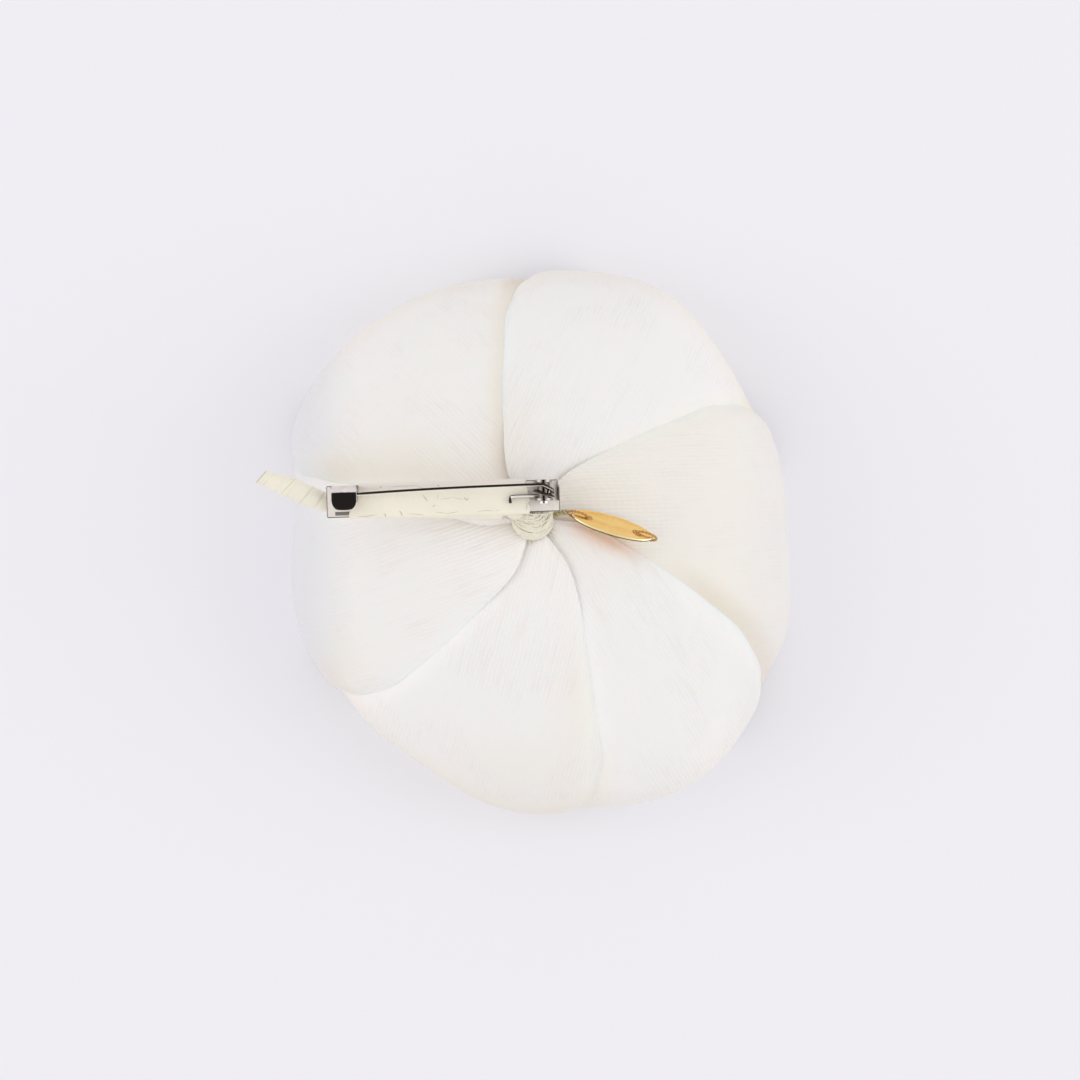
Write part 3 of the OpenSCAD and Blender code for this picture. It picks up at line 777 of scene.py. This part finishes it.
tape = {
    "from": 5.2, "to": 28.5, "thick": 0.35, "mesh": (110, 150),
    "over": 0.08, "corner": 0.3,               # reach over the bar's edges, and its rounding there
    "crumples": ((0.09, (0.5, 0.6, 0.6), 4), (0.035, (2.2, 1.4, 1.4), 0)),
    "lean": 4.6, "torn": (0.35, 1.3), "lower": 0.5,    # the far end runs on along the bar
    "tongue": 1.6, "tongueY": (-0.6, 2.2),             # and the near one curls round the hood
    "topZ": (-0.6, 0.5), "end": 0.9,                   # what counts as the top, and as the ends
    "side": 2.2, "sideIn": -0.1, "endFlat": 0.8,       # the sides don't sink in, and the far end is flat
    "bareFrom": 1.55, "bareLean": 0.02, "bareFade": 0.12,
    # creases, drawn as thin dark tubes of painted shade: place along the bar, place across it, direction in
    # degrees, half length, width
    "creases": (
        (16.1, 0.16, 125, 0.67, 0.05), (17.5, -1.12, 25, 0.29, 0.045), (19.5, 0.05, 7, 0.95, 0.025),
        (21.4, -0.05, 167, 0.96, 0.025), (22.6, -0.13, 127, 0.31, 0.06), (23.0, -0.19, 50, 0.25, 0.05),
        (18.2, 0.4, 78, 0.55, 0.025), (9.5, -2.4, 131, 0.3, 0.06), (12.1, -2.2, 117, 0.5, 0.06),
        (8.9, 2.2, 178, 0.12, 0.09), (18.3, 2.12, 178, 0.12, 0.08), (12.5, 2.24, 0, 1.96, 0.025),
        (15.3, 1.96, 156, 0.88, 0.025), (18.6, -2.3, 175, 0.82, 0.03), (20.5, -2.35, 6, 1.15, 0.03),
        (26.3, -2.2, 0, 1.71, 0.03), (6.6, -2.45, 2, 1.6, 0.03), (14.6, -2.45, 176, 1.5, 0.03),
        (32.6, -1.5, 86, 0.85, 0.03)),
    "creaseTone": 0.9, "creaseWave": (0.12, 0.4), "creaseThin": 0.4, "creaseDrop": (0.25, 2.45, 2.8),
}


def tapeSection(x, grow):
    edge, r = bar["width"] / 2 + tape["over"], stemWire["radius"] + grow
    shares = list(reversed(stemWire["under"]))
    share = x / bar["length"]
    for (a, sideA), (b, sideB) in zip(shares, shares[1:]):
        if a <= share <= b:
            side = sideA + (sideB - sideA) * (share - a) / (b - a)
    side *= stemWire["radius"]
    top, corner = bar["thick"] + grow, tape["corner"]
    half = [(edge, 0), (edge, top - corner), (edge - corner * 0.3, top - corner * 0.3), (edge - corner, top)]
    outline = [(-y, z) for y, z in half] + half[::-1]
    low = -stemWire["radius"] - flower["snug"]
    for k in range(19):  # round the stem's lower side
        way = heading(45 - k * 15)
        outline.append((side + r * way.x, low + r * way.y))
    return outline


def tapeLift(x, y, z):  # crumples of the tape
    return sum(noise.noise(Vector((x * often[0], y * often[1], z * often[2] + shift))) * high
               for high, often, shift in tape["crumples"])


def makeTape():
    grow = flower["snug"] + tape["thick"] / 2
    across, along = tape["mesh"]
    sections = {}

    def pointOn(x, u):  # a share of the way round the section at x
        key = round(x, 4)
        if key not in sections:
            outline = tapeSection(x, grow)
            steps = [math.dist(a, b) for a, b in zip(outline, outline[1:] + outline[:1])]
            sections[key] = (outline, steps, sum(steps))
        outline, steps, total = sections[key]
        left = (u % 1) * total
        for i, step in enumerate(steps):
            if left <= step:
                a, b = outline[i], outline[(i + 1) % len(outline)]
                return a[0] + (b[0] - a[0]) * left / step, a[1] + (b[1] - a[1]) * left / step
            left -= step
        return outline[0]

    bare = []

    def where(u, v):
        x = tape["from"] + v * (tape["to"] - tape["from"])
        y, z = pointOn(x, u)
        over = eased(z, *tape["topZ"])
        near = eased(-y, *tape["tongueY"])
        bareFrom = tape["bareFrom"] + tape["bareLean"] * x
        bare.append(eased(y, bareFrom, bareFrom + tape["bareFade"]) * over)
        lift = tapeLift(x, y, z)
        last = eased(v, tape["end"], 1.0)
        torn = tape["torn"][0] * noise.noise(Vector((y * tape["torn"][1], 3, 1)))
        x += over * last * (tape["lean"] - torn - tape["lower"] * eased(y, 0, 2))
        x -= tape["tongue"] * over * near * eased(1 - v, tape["end"], 1.0)
        if z > bar["thick"]:
            z += lift * (1 - tape["endFlat"] * last)
        elif abs(y) > tape["side"]:
            y += math.copysign(max(lift, tape["sideIn"]), y)
        return Vector((x, y, z))

    piece, marks = gridOf(across, along, where)
    setPaint(piece, "bare", bare)
    weld(piece, 0.01)
    modify(piece, "SOLIDIFY", thickness=tape["thick"], offset=0)
    lines = []
    top = bar["thick"] + flower["snug"] + tape["thick"]
    wave, thin, (fall, *fallAt) = tape["creaseWave"], tape["creaseThin"], tape["creaseDrop"]
    for x, y, turn, half, wide in tape["creases"]:
        way = heading(turn)
        path = []
        for k in range(-4, 5):
            point = Vector((x, y, 0)) + way * half * k / 4
            point += Vector((-way.y, way.x, 0)) * wave[0] * noise.noise(Vector((x, k * wave[1], 2)))
            point.z = top + tapeLift(point.x, point.y, top) - fall * eased(abs(point.y), *fallAt)
            path.append(tuple(point))
        line = tubeAlong(path, lambda share, _: wide * (thin + (1 - thin) * math.sin(math.pi * share)), 6)
        setPaint(line, "crease", tape["creaseTone"])
        lines.append(line)
    return finishPiece(gather(piece, lines), "barTape", ["pin_tape"], paper,
                       place=barFrame)


makeStem()
makeTape()
print("stem and tape ready")


# Thread wound round the claws. A layer is: turns, first and last angle from the top, least and greatest
# tilt of a turn, radius and the seed of its random draws.
winding = {
    "core": 3.16, "height": stemWire["z"] - 1.6, "strand": 0.14, "points": 44, "lean": -22,
    "layers": ((34, 8, 140, 3, 12, 3.26, 5), (15, 50, 118, 14, 50, 3.36, 11)), "uneven": (0.05, 2.9),
    # loose ends below the winding: how many, from which angle, step, unevenness of it, sideways, reach
    "ends": 11, "endsFrom": -128, "endStep": 9.5, "endDraw": 3, "endSide": 0.35, "endReach": (4.1, 4.9),
    "endWire": 0.07, "endsSeed": 3,
    "endPath": ((3.1, -0.5), (3.7, -1.0), -1.15),  # out and up for two points, and up for the third
    "light": (246, 241, 226), "dark": (235, 227, 206), "fold": 0.06, "bump": 0.7,
    # pattern of the plies and of the fuzz, and how much each shades and lifts the thread
    "plies": (1.6, 1.0), "fuzz": (6, 3), "shade": (0.2, 0.6), "lift": (0.7, 0.6),
}


def threadShader(net):
    place = net.coord("UV")
    plies = net.bands(place, "DIAGONAL", *winding["plies"])
    fuzz = net.noise(place, *winding["fuzz"])
    shade, lift = (plies * winding[key][0] + fuzz * winding[key][1] for key in ("shade", "lift"))
    return {"Base Color": shade.mixed(tone(*winding["light"]), tone(*winding["dark"])),
            "Normal": net.bump(lift, winding["fold"] * mm, winding["bump"])}


threadMaterial = makeMaterial("thread", threadShader, Roughness=0.75, Specular_IOR_Level=0.2,
                              Sheen_Weight=0.1)


def windRound(turns, first, last, tiltLow, tiltHigh, radius, seed):
    draw = random.Random(seed)
    tilts = [(draw.uniform(tiltLow, tiltHigh), draw.uniform(0, 360)) for _ in range(int(turns) + 2)]
    path = []
    for k in range(int(turns * winding["points"]) + 1):
        turn = k / winding["points"]
        polar = math.radians(first + (last - first) * turn / turns)
        angle = 2 * math.pi * turn
        i, share = int(turn), eased(turn % 1, 0, 1)
        tilt = [Matrix.Rotation(math.radians(t), 3, heading(d)) for t, d in tilts[i:i + 2]]
        ray = Vector((math.sin(polar) * math.cos(angle), math.sin(polar) * math.sin(angle), math.cos(polar)))
        ray = ((tilt[0] @ ray) * (1 - share) + (tilt[1] @ ray) * share).normalized()
        high, often = winding["uneven"]
        path.append(tuple(ray * (radius + high * math.sin(turn * often))))
    return tubeAlong(path, winding["strand"], 6, Vector((0.02, 0.01, 1)))


def makeWinding():
    bpy.ops.mesh.primitive_uv_sphere_add(segments=40, ring_count=24, radius=winding["core"])
    core = settle(bpy.context.object)
    strands = [windRound(*layer) for layer in winding["layers"]]
    for strand in strands:  # wound a little towards the bar
        strand.data.transform(Matrix.Rotation(math.radians(winding["lean"]), 4, "X"))
    draw = random.Random(winding["endsSeed"])
    (nearOut, nearUp), (farOut, farUp), tipUp = winding["endPath"]
    for k in range(winding["ends"]):
        even = winding["endsFrom"] + winding["endStep"] * k
        way = heading(even + draw.uniform(-winding["endDraw"], winding["endDraw"]))
        side = Vector((-way.y, way.x, 0)) * draw.uniform(-winding["endSide"], winding["endSide"])
        ends = [way * nearOut + Vector((0, 0, nearUp)), way * farOut + Vector((0, 0, farUp)) + side * 0.5,
                way * draw.uniform(*winding["endReach"]) + Vector((0, 0, tipUp)) + side]
        strands.append(tubeAlong(through([tuple(e) for e in ends], 4), winding["endWire"], 6))
    place = flowerFrame @ Matrix.Translation((0, 0, winding["height"]))
    return finishPiece(gather(core, strands), "woundThread", ["thread_binding"],
                       threadMaterial, place=place)


makeWinding()
print("winding ready")


# Nickel bar, catch and joint. The metal has clouds, rubbing across the bar and fine specks.
nickel = {"cloud": 420, "clouds": (0.3, 0.8), "cloudLift": 0.6, "rub": (900, 5200, 900), "specks": 3200,
          "edge": (0.16, 0.13, 0.11, 1), "fold": 0.012, "bump": 0.35}


def nickelShader(bright, dull, rough, speckle):  # "edge" is painted dark: painted shade and dark reflection at edges and hollows
    def shader(net):
        place = net.coord("Object")
        cloud = net.noise(place, nickel["cloud"], 3)
        rub = net.noise(place, 1.0, 3, nickel["rub"])
        plate = cloud.between(*nickel["clouds"]).mixed((*bright, 1), (*dull, 1))
        lift = rub + cloud * nickel["cloudLift"] + net.noise(place, nickel["specks"], 2) * speckle
        return {"Base Color": net.paint("edge").mixed(plate, nickel["edge"]),
                "Roughness": cloud.ranged(*rough),
                "Normal": net.bump(lift, nickel["fold"] * mm, nickel["bump"])}
    return shader


# the painted highlights along the wires, over a dark painted reflection: their places round the wire, and
# their widths, as shares of a turn; and the mm along the wire to which a tail with its bend reaches
glint = {"low": (0.5, (0.2, 0.13)), "top": (0.25, (0.17, 0.1)), "tail": 6.3, "fade": 0.2,
         "dark": (0.045, 0.032, 0.028, 1), "bright": (0.95, 0.9, 0.86, 1), "rough": (0.15, 0.4)}


def wireShader(tail):
    # painted dark reflection on the wire, with a painted highlight along its lower side, and a painted
    # bright top over the length of the tail
    def shader(net):
        marks = net.coord("UV")
        around, travel = marks.axis("X"), marks.axis("Y")
        low, top = (net.math("ABSOLUTE", around - at).between(*wide) for at, wide in (glint["low"],
                                                                                     glint["top"]))
        onTail = travel.between(tail + glint["fade"], tail)
        light = onTail * top + (1 - onTail) * low
        return {"Base Color": light.mixed(glint["dark"], glint["bright"]),
                "Roughness": light.ranged(*glint["rough"])}
    return shader


satin, polished, steel, tailSteel = (makeMaterial(name, shader, Metallic=1.0) for name, shader in (
    ("satinNickel", nickelShader((1.0, 0.94, 0.88), (0.9, 0.83, 0.76), (0.42, 0.52), 0.0)),
    ("polishedNickel", nickelShader((0.84, 0.8, 0.78), (0.7, 0.62, 0.56), (0.06, 0.13), 3.0)),
    ("steelWire", wireShader(0)),
    ("steelTail", wireShader(glint["tail"])),
))

joint = {"sheet": 0.4, "rivet": 1.05, "wire": 0.375, "clearance": 0.05, "lift": 0.2, "side": 0.05,
         "pitch": 0.89, "head": 0.6, "lip": 0.8, "back": 2.6, "sunk": 0.1, "lugWall": 0.45,
         "lugSoft": 0.08, "headWide": 0.8, "headSoft": 0.2, "shankSoft": 0.02}
joint["x"] = bar["length"] - joint["back"]
joint["coil"] = joint["rivet"] + joint["clearance"] + joint["wire"]
joint["z"] = bar["thick"] + joint["lift"] + joint["coil"] + joint["wire"]
joint["lug"] = joint["rivet"] + joint["lugWall"]
barEdge = bar["width"] / 2
joint["needleY"] = barEdge - joint["sheet"] - joint["side"] - joint["wire"]
joint["firstY"] = joint["needleY"] - 2 * joint["pitch"]
joint["nearLug"] = joint["firstY"] - joint["wire"] - joint["side"] - joint["sheet"]
joint["farLug"] = barEdge - joint["sheet"]
# Roundings of the bar, corners of the painted shadow under the hood, and how dark each part is painted as
# painted shade and dark reflection. The lip is darker as far as "lipDarkTo" across the bar.
barPlate = {"soft": 0.2, "lipSoft": 0.12, "gap": ((1.35, -2.25, -0.05), (3.8, -1.65, 0.02))}
darkness = {"plateSide": 1.0, "lip": 0.25, "lipDark": 1.0, "lipDarkTo": 1.3, "gap": 0.75, "lug": 0.7,
            "shank": 1.0, "head": 0.1}


def blockOf(low, high):
    bpy.ops.mesh.primitive_cube_add(size=1, location=[(a + b) / 2 for a, b in zip(low, high)],
                                    scale=[b - a for a, b in zip(low, high)])
    return settle(bpy.context.object)


def makeBar():
    top = bar["thick"]
    plate = blockOf((0, -barEdge, 0), (bar["length"], barEdge, top))

    def corner(shape):
        for line in shape.edges:
            a, b = (p.co for p in line.verts)
            line.select = abs(a.x) + abs(b.x) < 0.01 and a.y + b.y < -barEdge and abs(a.z - b.z) > 0.1
    inEdit(plate, corner, lambda: bpy.ops.mesh.bevel(offset=bar["corner"], segments=1))
    soften(plate, barPlate["soft"], 3)
    # the plate's sides and bevels are painted dark: painted shade and dark reflection along its edges
    setPaint(plate, "edge", [darkness["plateSide"] if p.co.z < top - 0.02 else 0.0
                             for p in plate.data.vertices])
    lip = soften(blockOf((bar["length"] - joint["sheet"], joint["nearLug"], joint["sunk"]),
                         (bar["length"], barEdge, top + joint["lip"])), barPlate["lipSoft"], 3)
    divide(lip, 4)
    # the lip is painted dark, fully over part of its width: painted shade and dark reflection
    setPaint(lip, "edge", [darkness["lipDark" if p.co.y < darkness["lipDarkTo"] else "lip"]
                           for p in lip.data.vertices])
    # painted shadow under the hood's free edge: a thin dark sheet laid on the plate, by the end of the tape
    # beside the hood
    gap = blockOf(*((x, y, top + z) for x, y, z in barPlate["gap"]))
    setPaint(gap, "edge", darkness["gap"])
    return finishPiece(gather(plate, [lip, gap]), "barPlate", ["pin_bar"], satin, 35, barFrame)


# "end" is how far the hood reaches across the bar; its free corners are rounded by the ellipse "corner"
hood = {"x": 0.7, "length": 4.4, "height": 3.2, "bend": 1.3, "end": barEdge - 4.05, "corner": (1.3, 1.75),
        "dome": 0.03, "lipWide": 0.7, "lipDrop": 0.9, "taper": 0.12, "bow": 0.1, "soft": 0.12,
        "darkFrom": 0.86, "darkBelow": (0.6, 1.2)}


def makeHood():
    half = joint["sheet"] / 2
    rise = hood["height"] - hood["bend"] - bar["thick"] + joint["sunk"]
    radius = hood["bend"] - half
    arc = radius * math.pi / 2
    total = rise + arc + barEdge - hood["bend"] - hood["end"]

    def where(u, v):
        travel = v * total
        if travel < rise:
            y, z = barEdge - half, bar["thick"] - joint["sunk"] + travel
        elif travel < rise + arc:
            turn = (travel - rise) / radius
            y = barEdge - hood["bend"] + radius * math.cos(turn)
            z = hood["height"] - hood["bend"] + radius * math.sin(turn)
        else:
            y, z = barEdge - hood["bend"] - (travel - rise - arc), hood["height"] - half
        short = total - travel
        wide, deep = hood["corner"]
        narrow = wide * (1 - math.sqrt(max(1 - (1 - short / deep) ** 2, 0))) if short < deep else 0.0
        reach = hood["length"] / 2 - narrow - hood["taper"] * eased(travel, rise * 0.5, rise + arc)
        s = 2 * u - 1
        over = eased(travel, rise, rise + arc)
        bent = eased(1 - short / hood["lipWide"], 0, 1) * hood["lipDrop"]
        z -= hood["dome"] * over * (abs(s) ** 3.0 + bent)
        y -= hood["bow"] * (1 - over) * abs(s) ** 4
        return Vector((hood["x"] + hood["length"] / 2 + s * reach, y, z))

    piece, marks = gridOf(30, 48, where)
    # the hood's sides are painted dark where they rise: painted shade and dark reflection
    setPaint(piece, "edge", [eased(abs(2 * u - 1), hood["darkFrom"], 1)
                             * eased(rise + arc - v * total, *hood["darkBelow"]) for u, v in marks])
    modify(piece, "SOLIDIFY", thickness=joint["sheet"], offset=0)
    soften(piece, hood["soft"], 2, 60)
    return finishPiece(piece, "catchHood", ["pin_bar"], polished, place=barFrame)


def alongRivet(low, high, radius, bevel):
    return soften(cylinderOf(48, radius, high - low, (joint["x"], (low + high) / 2, joint["z"]),
                             math.pi / 2), bevel, 3)


def makeLug(y):
    lug = alongRivet(y, y + joint["sheet"], joint["lug"], 0.001)
    for point in lug.data.vertices:  # the lower half runs straight down into the bar
        if point.co.z < joint["z"]:
            point.co.x = joint["x"] + math.copysign(joint["lug"], point.co.x - joint["x"])
            point.co.z = bar["thick"] - joint["sunk"]
    inEdit(lug, everything, lambda: bpy.ops.mesh.remove_doubles(threshold=0.0005),
           lambda: bpy.ops.mesh.dissolve_limited(angle_limit=0.01))
    soften(lug, joint["lugSoft"])
    # the lugs are painted dark: painted dark reflection
    setPaint(lug, "edge", darkness["lug"])
    return lug


def makeJoint():
    lugs = [makeLug(joint["nearLug"]), makeLug(joint["farLug"])]
    near, sunk = joint["nearLug"], joint["sunk"]
    head = alongRivet(near - joint["head"], near + sunk, joint["rivet"] * joint["headWide"],
                      joint["headSoft"])
    shank = alongRivet(near + sunk / 2, barEdge - sunk, joint["rivet"], joint["shankSoft"])
    # the shank inside the coil is painted dark as shade, the head only a little
    setPaint(shank, "edge", darkness["shank"])
    setPaint(head, "edge", darkness["head"])
    return finishPiece(gather(lugs[0], [lugs[1], gather(shank, [head])]), "jointLugs", ["pin_bar"],
                       polished, 35, barFrame)


needle = {"radius": 0.27, "point": 0.035, "taper": 5.0, "tip": (1.3, barEdge - 1.65), "elbow": 3.0,
          "bow": (0.176, 0.12), "drop": 1.0, "slant": 0.5, "turn": (-100, 90), "elbowOut": 0.02,
          "taperPower": 0.8, "turnSteps": 40, "elbowSteps": 5, "steps": 60, "sides": 20}
needle["tipZ"] = hood["height"] - joint["sheet"] - 2.2 * joint["wire"]
tail = {"length": 5.2, "rise": 6.0, "wire": 0.25, "slant": 0.35, "pitch": 0.85, "open": 40,
        "hook": ((-0.12, -1.1, -0.05), (-0.16, -0.45, -0.02), (-0.08, -0.08, 0)),
        "turn": (-90, 450), "turnSteps": 90, "steps": 8, "sides": 18, "upright": (0.1, 1, 0.35)}


def helix(fromAngle, toAngle, fromY, toY, steps, slant):
    points = []
    for k in range(steps + 1):
        share = k / steps
        angle = math.radians(fromAngle + (toAngle - fromAngle) * share)
        across = fromY + (toY - fromY) * share - slant * math.cos(angle)
        points.append((joint["x"] + joint["coil"] * math.cos(angle), across,
                       joint["z"] + joint["coil"] * math.sin(angle)))
    return points


def makeNeedle():
    top = joint["z"] + joint["coil"]
    path = helix(*needle["turn"], joint["needleY"] - needle["drop"], joint["needleY"],
                 needle["turnSteps"], needle["slant"])
    elbow = (joint["x"] - needle["elbow"], joint["needleY"] + needle["elbowOut"], top)
    half = (joint["x"] - needle["elbow"] / 2, joint["needleY"], top)
    tip = Vector((*needle["tip"], needle["tipZ"]))
    path += through([path[-1], half, elbow], needle["elbowSteps"])[1:]
    for k in range(1, needle["steps"] + 1):
        share = k / needle["steps"]
        point = Vector(elbow).lerp(tip, share)
        bow = math.sin(math.pi * share)
        path.append(tuple(point + Vector((0, needle["bow"][0] * bow, needle["bow"][1] * bow))))
    total = [0.0]
    for a, b in zip(path, path[1:]):
        total.append(total[-1] + math.dist(a, b))

    def tapered(share, turn):
        left = total[-1] - total[round(share * (len(path) - 1))]
        thinned = min(left / needle["taper"], 1) ** needle["taperPower"]
        return max(needle["radius"] * thinned, needle["point"])

    piece = tubeAlong(path, tapered, needle["sides"], Vector((0, 1, 0)))
    return finishPiece(piece, "bowedNeedle", ["pin_needle"], steel, 60, barFrame, "needle")


def makeSpring():
    first = joint["firstY"]
    start, end = tail["turn"]
    coil = helix(start - tail["rise"], end - tail["open"], first, first + tail["pitch"],
                 tail["turnSteps"], tail["slant"])
    lean = math.radians(tail["rise"])
    way = Vector((-math.cos(lean), 0, math.sin(lean)))
    away = [tuple(Vector(coil[0]) + way * tail["length"] * k / tail["steps"])
            for k in range(tail["steps"], 0, -1)]
    hook = [tuple(Vector(away[0]) + Vector(step)) for step in tail["hook"]]
    piece = tubeAlong(hook + away[1:] + coil, tail["wire"], tail["sides"], Vector(tail["upright"]))
    return finishPiece(piece, "springCoil", ["pin_spring"], tailSteel, 60, barFrame)


makeBar()
makeHood()
makeJoint()
makeNeedle()
makeSpring()
print("pin ready")


# Gilt tag on its thread. The plies of the loops and of the lead are: radius, and length of a turn.
tag = {"length": 14.0, "width": 5.4, "thick": 0.5, "hole": 0.6, "tilt": 55, "from": (6.3, 0.85),
       "turn": -16.8, "holeIn": 3.0, "dish": 0.08, "inset": 0.05, "point": 1.05, "past": 0.55,
       "thread": 0.2, "slack": 0.2, "loopPlies": (0.115, 0.9), "leadPlies": (0.24, 1.15),
       "leadFrom": (3.8, 0.4), "leadIn": 0.3, "sag": (0, 0.2, 0.1), "loopPoints": {-1: 110, 1: 84},
       "sides": 96, "holeSides": 32, "soft": 0.04, "rimSteps": 120, "rimSides": 16}
tagTurn = math.radians(tag["turn"])
tagAt = Vector(tag["from"]) + heading(tag["turn"]).xy * tag["length"] / 2


def backHeight(x, y):  # the outer petals' middle surface under a point
    azimuth = math.degrees(math.atan2(y, x))
    share = min(math.hypot(x, y) / reachAt(azimuth), 1) ** (1 / flower["exponent"])
    outer = rings[0]
    drop = flower["height"] * (1 - outer["rim"]) / (1 - powered(math.cos(math.radians(outer["end"]))))
    return flower["height"] - drop * (1 - powered(math.cos(math.asin(share))))


tilt = math.radians(tag["tilt"])
tagZ = (backHeight(tagAt.x, tagAt.y) + flower["silk"] / 2 + flower["seat"]
        + tag["width"] / 2 * math.sin(tilt) + tag["thick"] * math.cos(tilt))
tagFrame = (flowerFrame @ Matrix.Translation((tagAt.x, tagAt.y, tagZ)) @ Matrix.Rotation(tagTurn, 4, "Z")
            @ Matrix.Rotation(-tilt, 4, "X"))


# its tones, then where the rim's painted highlight and painted dark reflection begin and end, in shares of
# the turn round the rim
giltLook = {"face": (0.98, 0.69, 0.27, 1), "dull": (0.92, 0.6, 0.2, 1), "bright": (1, 0.93, 0.62, 1),
            "dark": (0.12, 0.06, 0.01, 1),
            "brightAt": ((0.02, 0.06), (0.2, 0.16)), "darkAt": ((0.2, 0.24), (0.5, 0.47)),
            "cloud": 260, "clouds": (0.3, 0.75), "rub": (3800, 900, 900), "rough": (0.2, 0.36),
            "fold": 0.01, "bump": 0.4}


def giltShader(net):  # painted highlight on the rim where it faces up at the tag's raised side, and painted dark reflection below that
    place = net.coord("Object")
    rim, around = net.paint("rim"), net.coord("UV").axis("X")
    cloud = net.noise(place, giltLook["cloud"], 3)
    rub = net.noise(place, 1.0, 2, giltLook["rub"])
    gold = cloud.between(*giltLook["clouds"]).mixed(giltLook["face"], giltLook["dull"])
    bright, dark = (rim * around.between(*giltLook[key][0]) * around.between(*giltLook[key][1])
                    for key in ("brightAt", "darkAt"))
    return {"Base Color": dark.mixed(bright.mixed(gold, giltLook["bright"]), giltLook["dark"]),
            "Roughness": cloud.ranged(*giltLook["rough"]),
            "Normal": net.bump(rub + cloud, giltLook["fold"] * mm, giltLook["bump"])}


gilt = makeMaterial("gilt", giltShader, Metallic=1.0)


threadLook = {"fuzz": (9, 3), "tones": (0.3, 0.7), "fold": 0.03, "bump": 0.6}


def cordShader(dark, light):
    def shader(net):
        fuzz = net.noise(net.coord("UV"), *threadLook["fuzz"])
        return {"Base Color": fuzz.between(*threadLook["tones"]).mixed(tone(*dark), tone(*light)),
                "Normal": net.bump(fuzz, threadLook["fold"] * mm, threadLook["bump"])}
    return shader


oliveThread = makeMaterial("oliveThread", cordShader((124, 108, 58), (222, 210, 160)), Roughness=0.5,
                           Sheen_Weight=0.1)
amberThread = makeMaterial("amberThread", cordShader((150, 84, 34), (244, 196, 112)), Roughness=0.4)


def tagEdge(angle, inset):
    rise = math.copysign(abs(math.sin(angle)) ** tag["point"], math.sin(angle))
    return (tag["length"] / 2 - inset) * math.cos(angle), (tag["width"] / 2 - inset) * rise, 0


def inHole(end, sides, radius, depth):
    return cylinderOf(sides, radius, depth, (end * (tag["length"] / 2 - tag["holeIn"]), 0, 0))


def makeTag():
    plate = cylinderOf(tag["sides"], 1, tag["thick"] - 2 * tag["dish"])
    for point in plate.data.vertices:
        point.co.x, point.co.y, _ = tagEdge(math.atan2(point.co.y, point.co.x), tag["inset"])
    for end in (-1, 1):
        cutAway(plate, inHole(end, tag["holeSides"], tag["hole"], 2))
    soften(plate, tag["soft"])
    path = [tagEdge(2 * math.pi * k / tag["rimSteps"], tag["thick"] / 2) for k in range(tag["rimSteps"])]
    rim = tubeAlong(path, tag["thick"] / 2, tag["rimSides"], closed=True)
    setPaint(rim, "rim", 1.0)
    return finishPiece(gather(plate, [rim]), "giltTag", ["tag"], gilt, 30, tagFrame)


def makeLoop(end, name, node):  # the loop through a hole, which turns of the thread fill
    inner, outer = tag["length"] / 2 - tag["holeIn"], tag["length"] / 2 + tag["past"]
    deep = tag["thick"] / 2 + tag["thread"] + tag["slack"]
    count = tag["loopPoints"][end]
    path = [(end * ((inner + outer) / 2 + (outer - inner) / 2 * math.cos(2 * math.pi * k / count)), 0,
             deep * math.sin(2 * math.pi * k / count)) for k in range(count)]
    loop = twistedPlies(path, Vector((0, 1, 0)), *tag["loopPlies"], closed=True)
    fill = inHole(end, 24, tag["hole"] + 0.02, tag["thick"] * 0.5)
    finishPiece(gather(loop, [fill]), name, [node], amberThread, place=tagFrame)


def makeLead():
    knot = tagFrame @ Vector((-tag["length"] / 2 - tag["past"] - flower["snug"], 0, 0))
    out = Vector(tag["leadFrom"]).normalized() * (ballRadius - tag["leadIn"])
    start = flowerFrame @ Vector((*out, winding["height"]))
    middle = (start + knot) / 2 + Vector(tag["sag"])
    path = through([tuple(start), tuple(middle), tuple(knot)], 34)
    lead = twistedPlies(path, Vector((0, 0, 1)), *tag["leadPlies"])
    finishPiece(lead, "tagThread", ["tag_thread"], oliveThread)


makeTag()
makeLoop(1, "farLoop", "tag_loop")
makeLoop(-1, "nearLoop", "tag_thread")
makeLead()
print("tag ready")
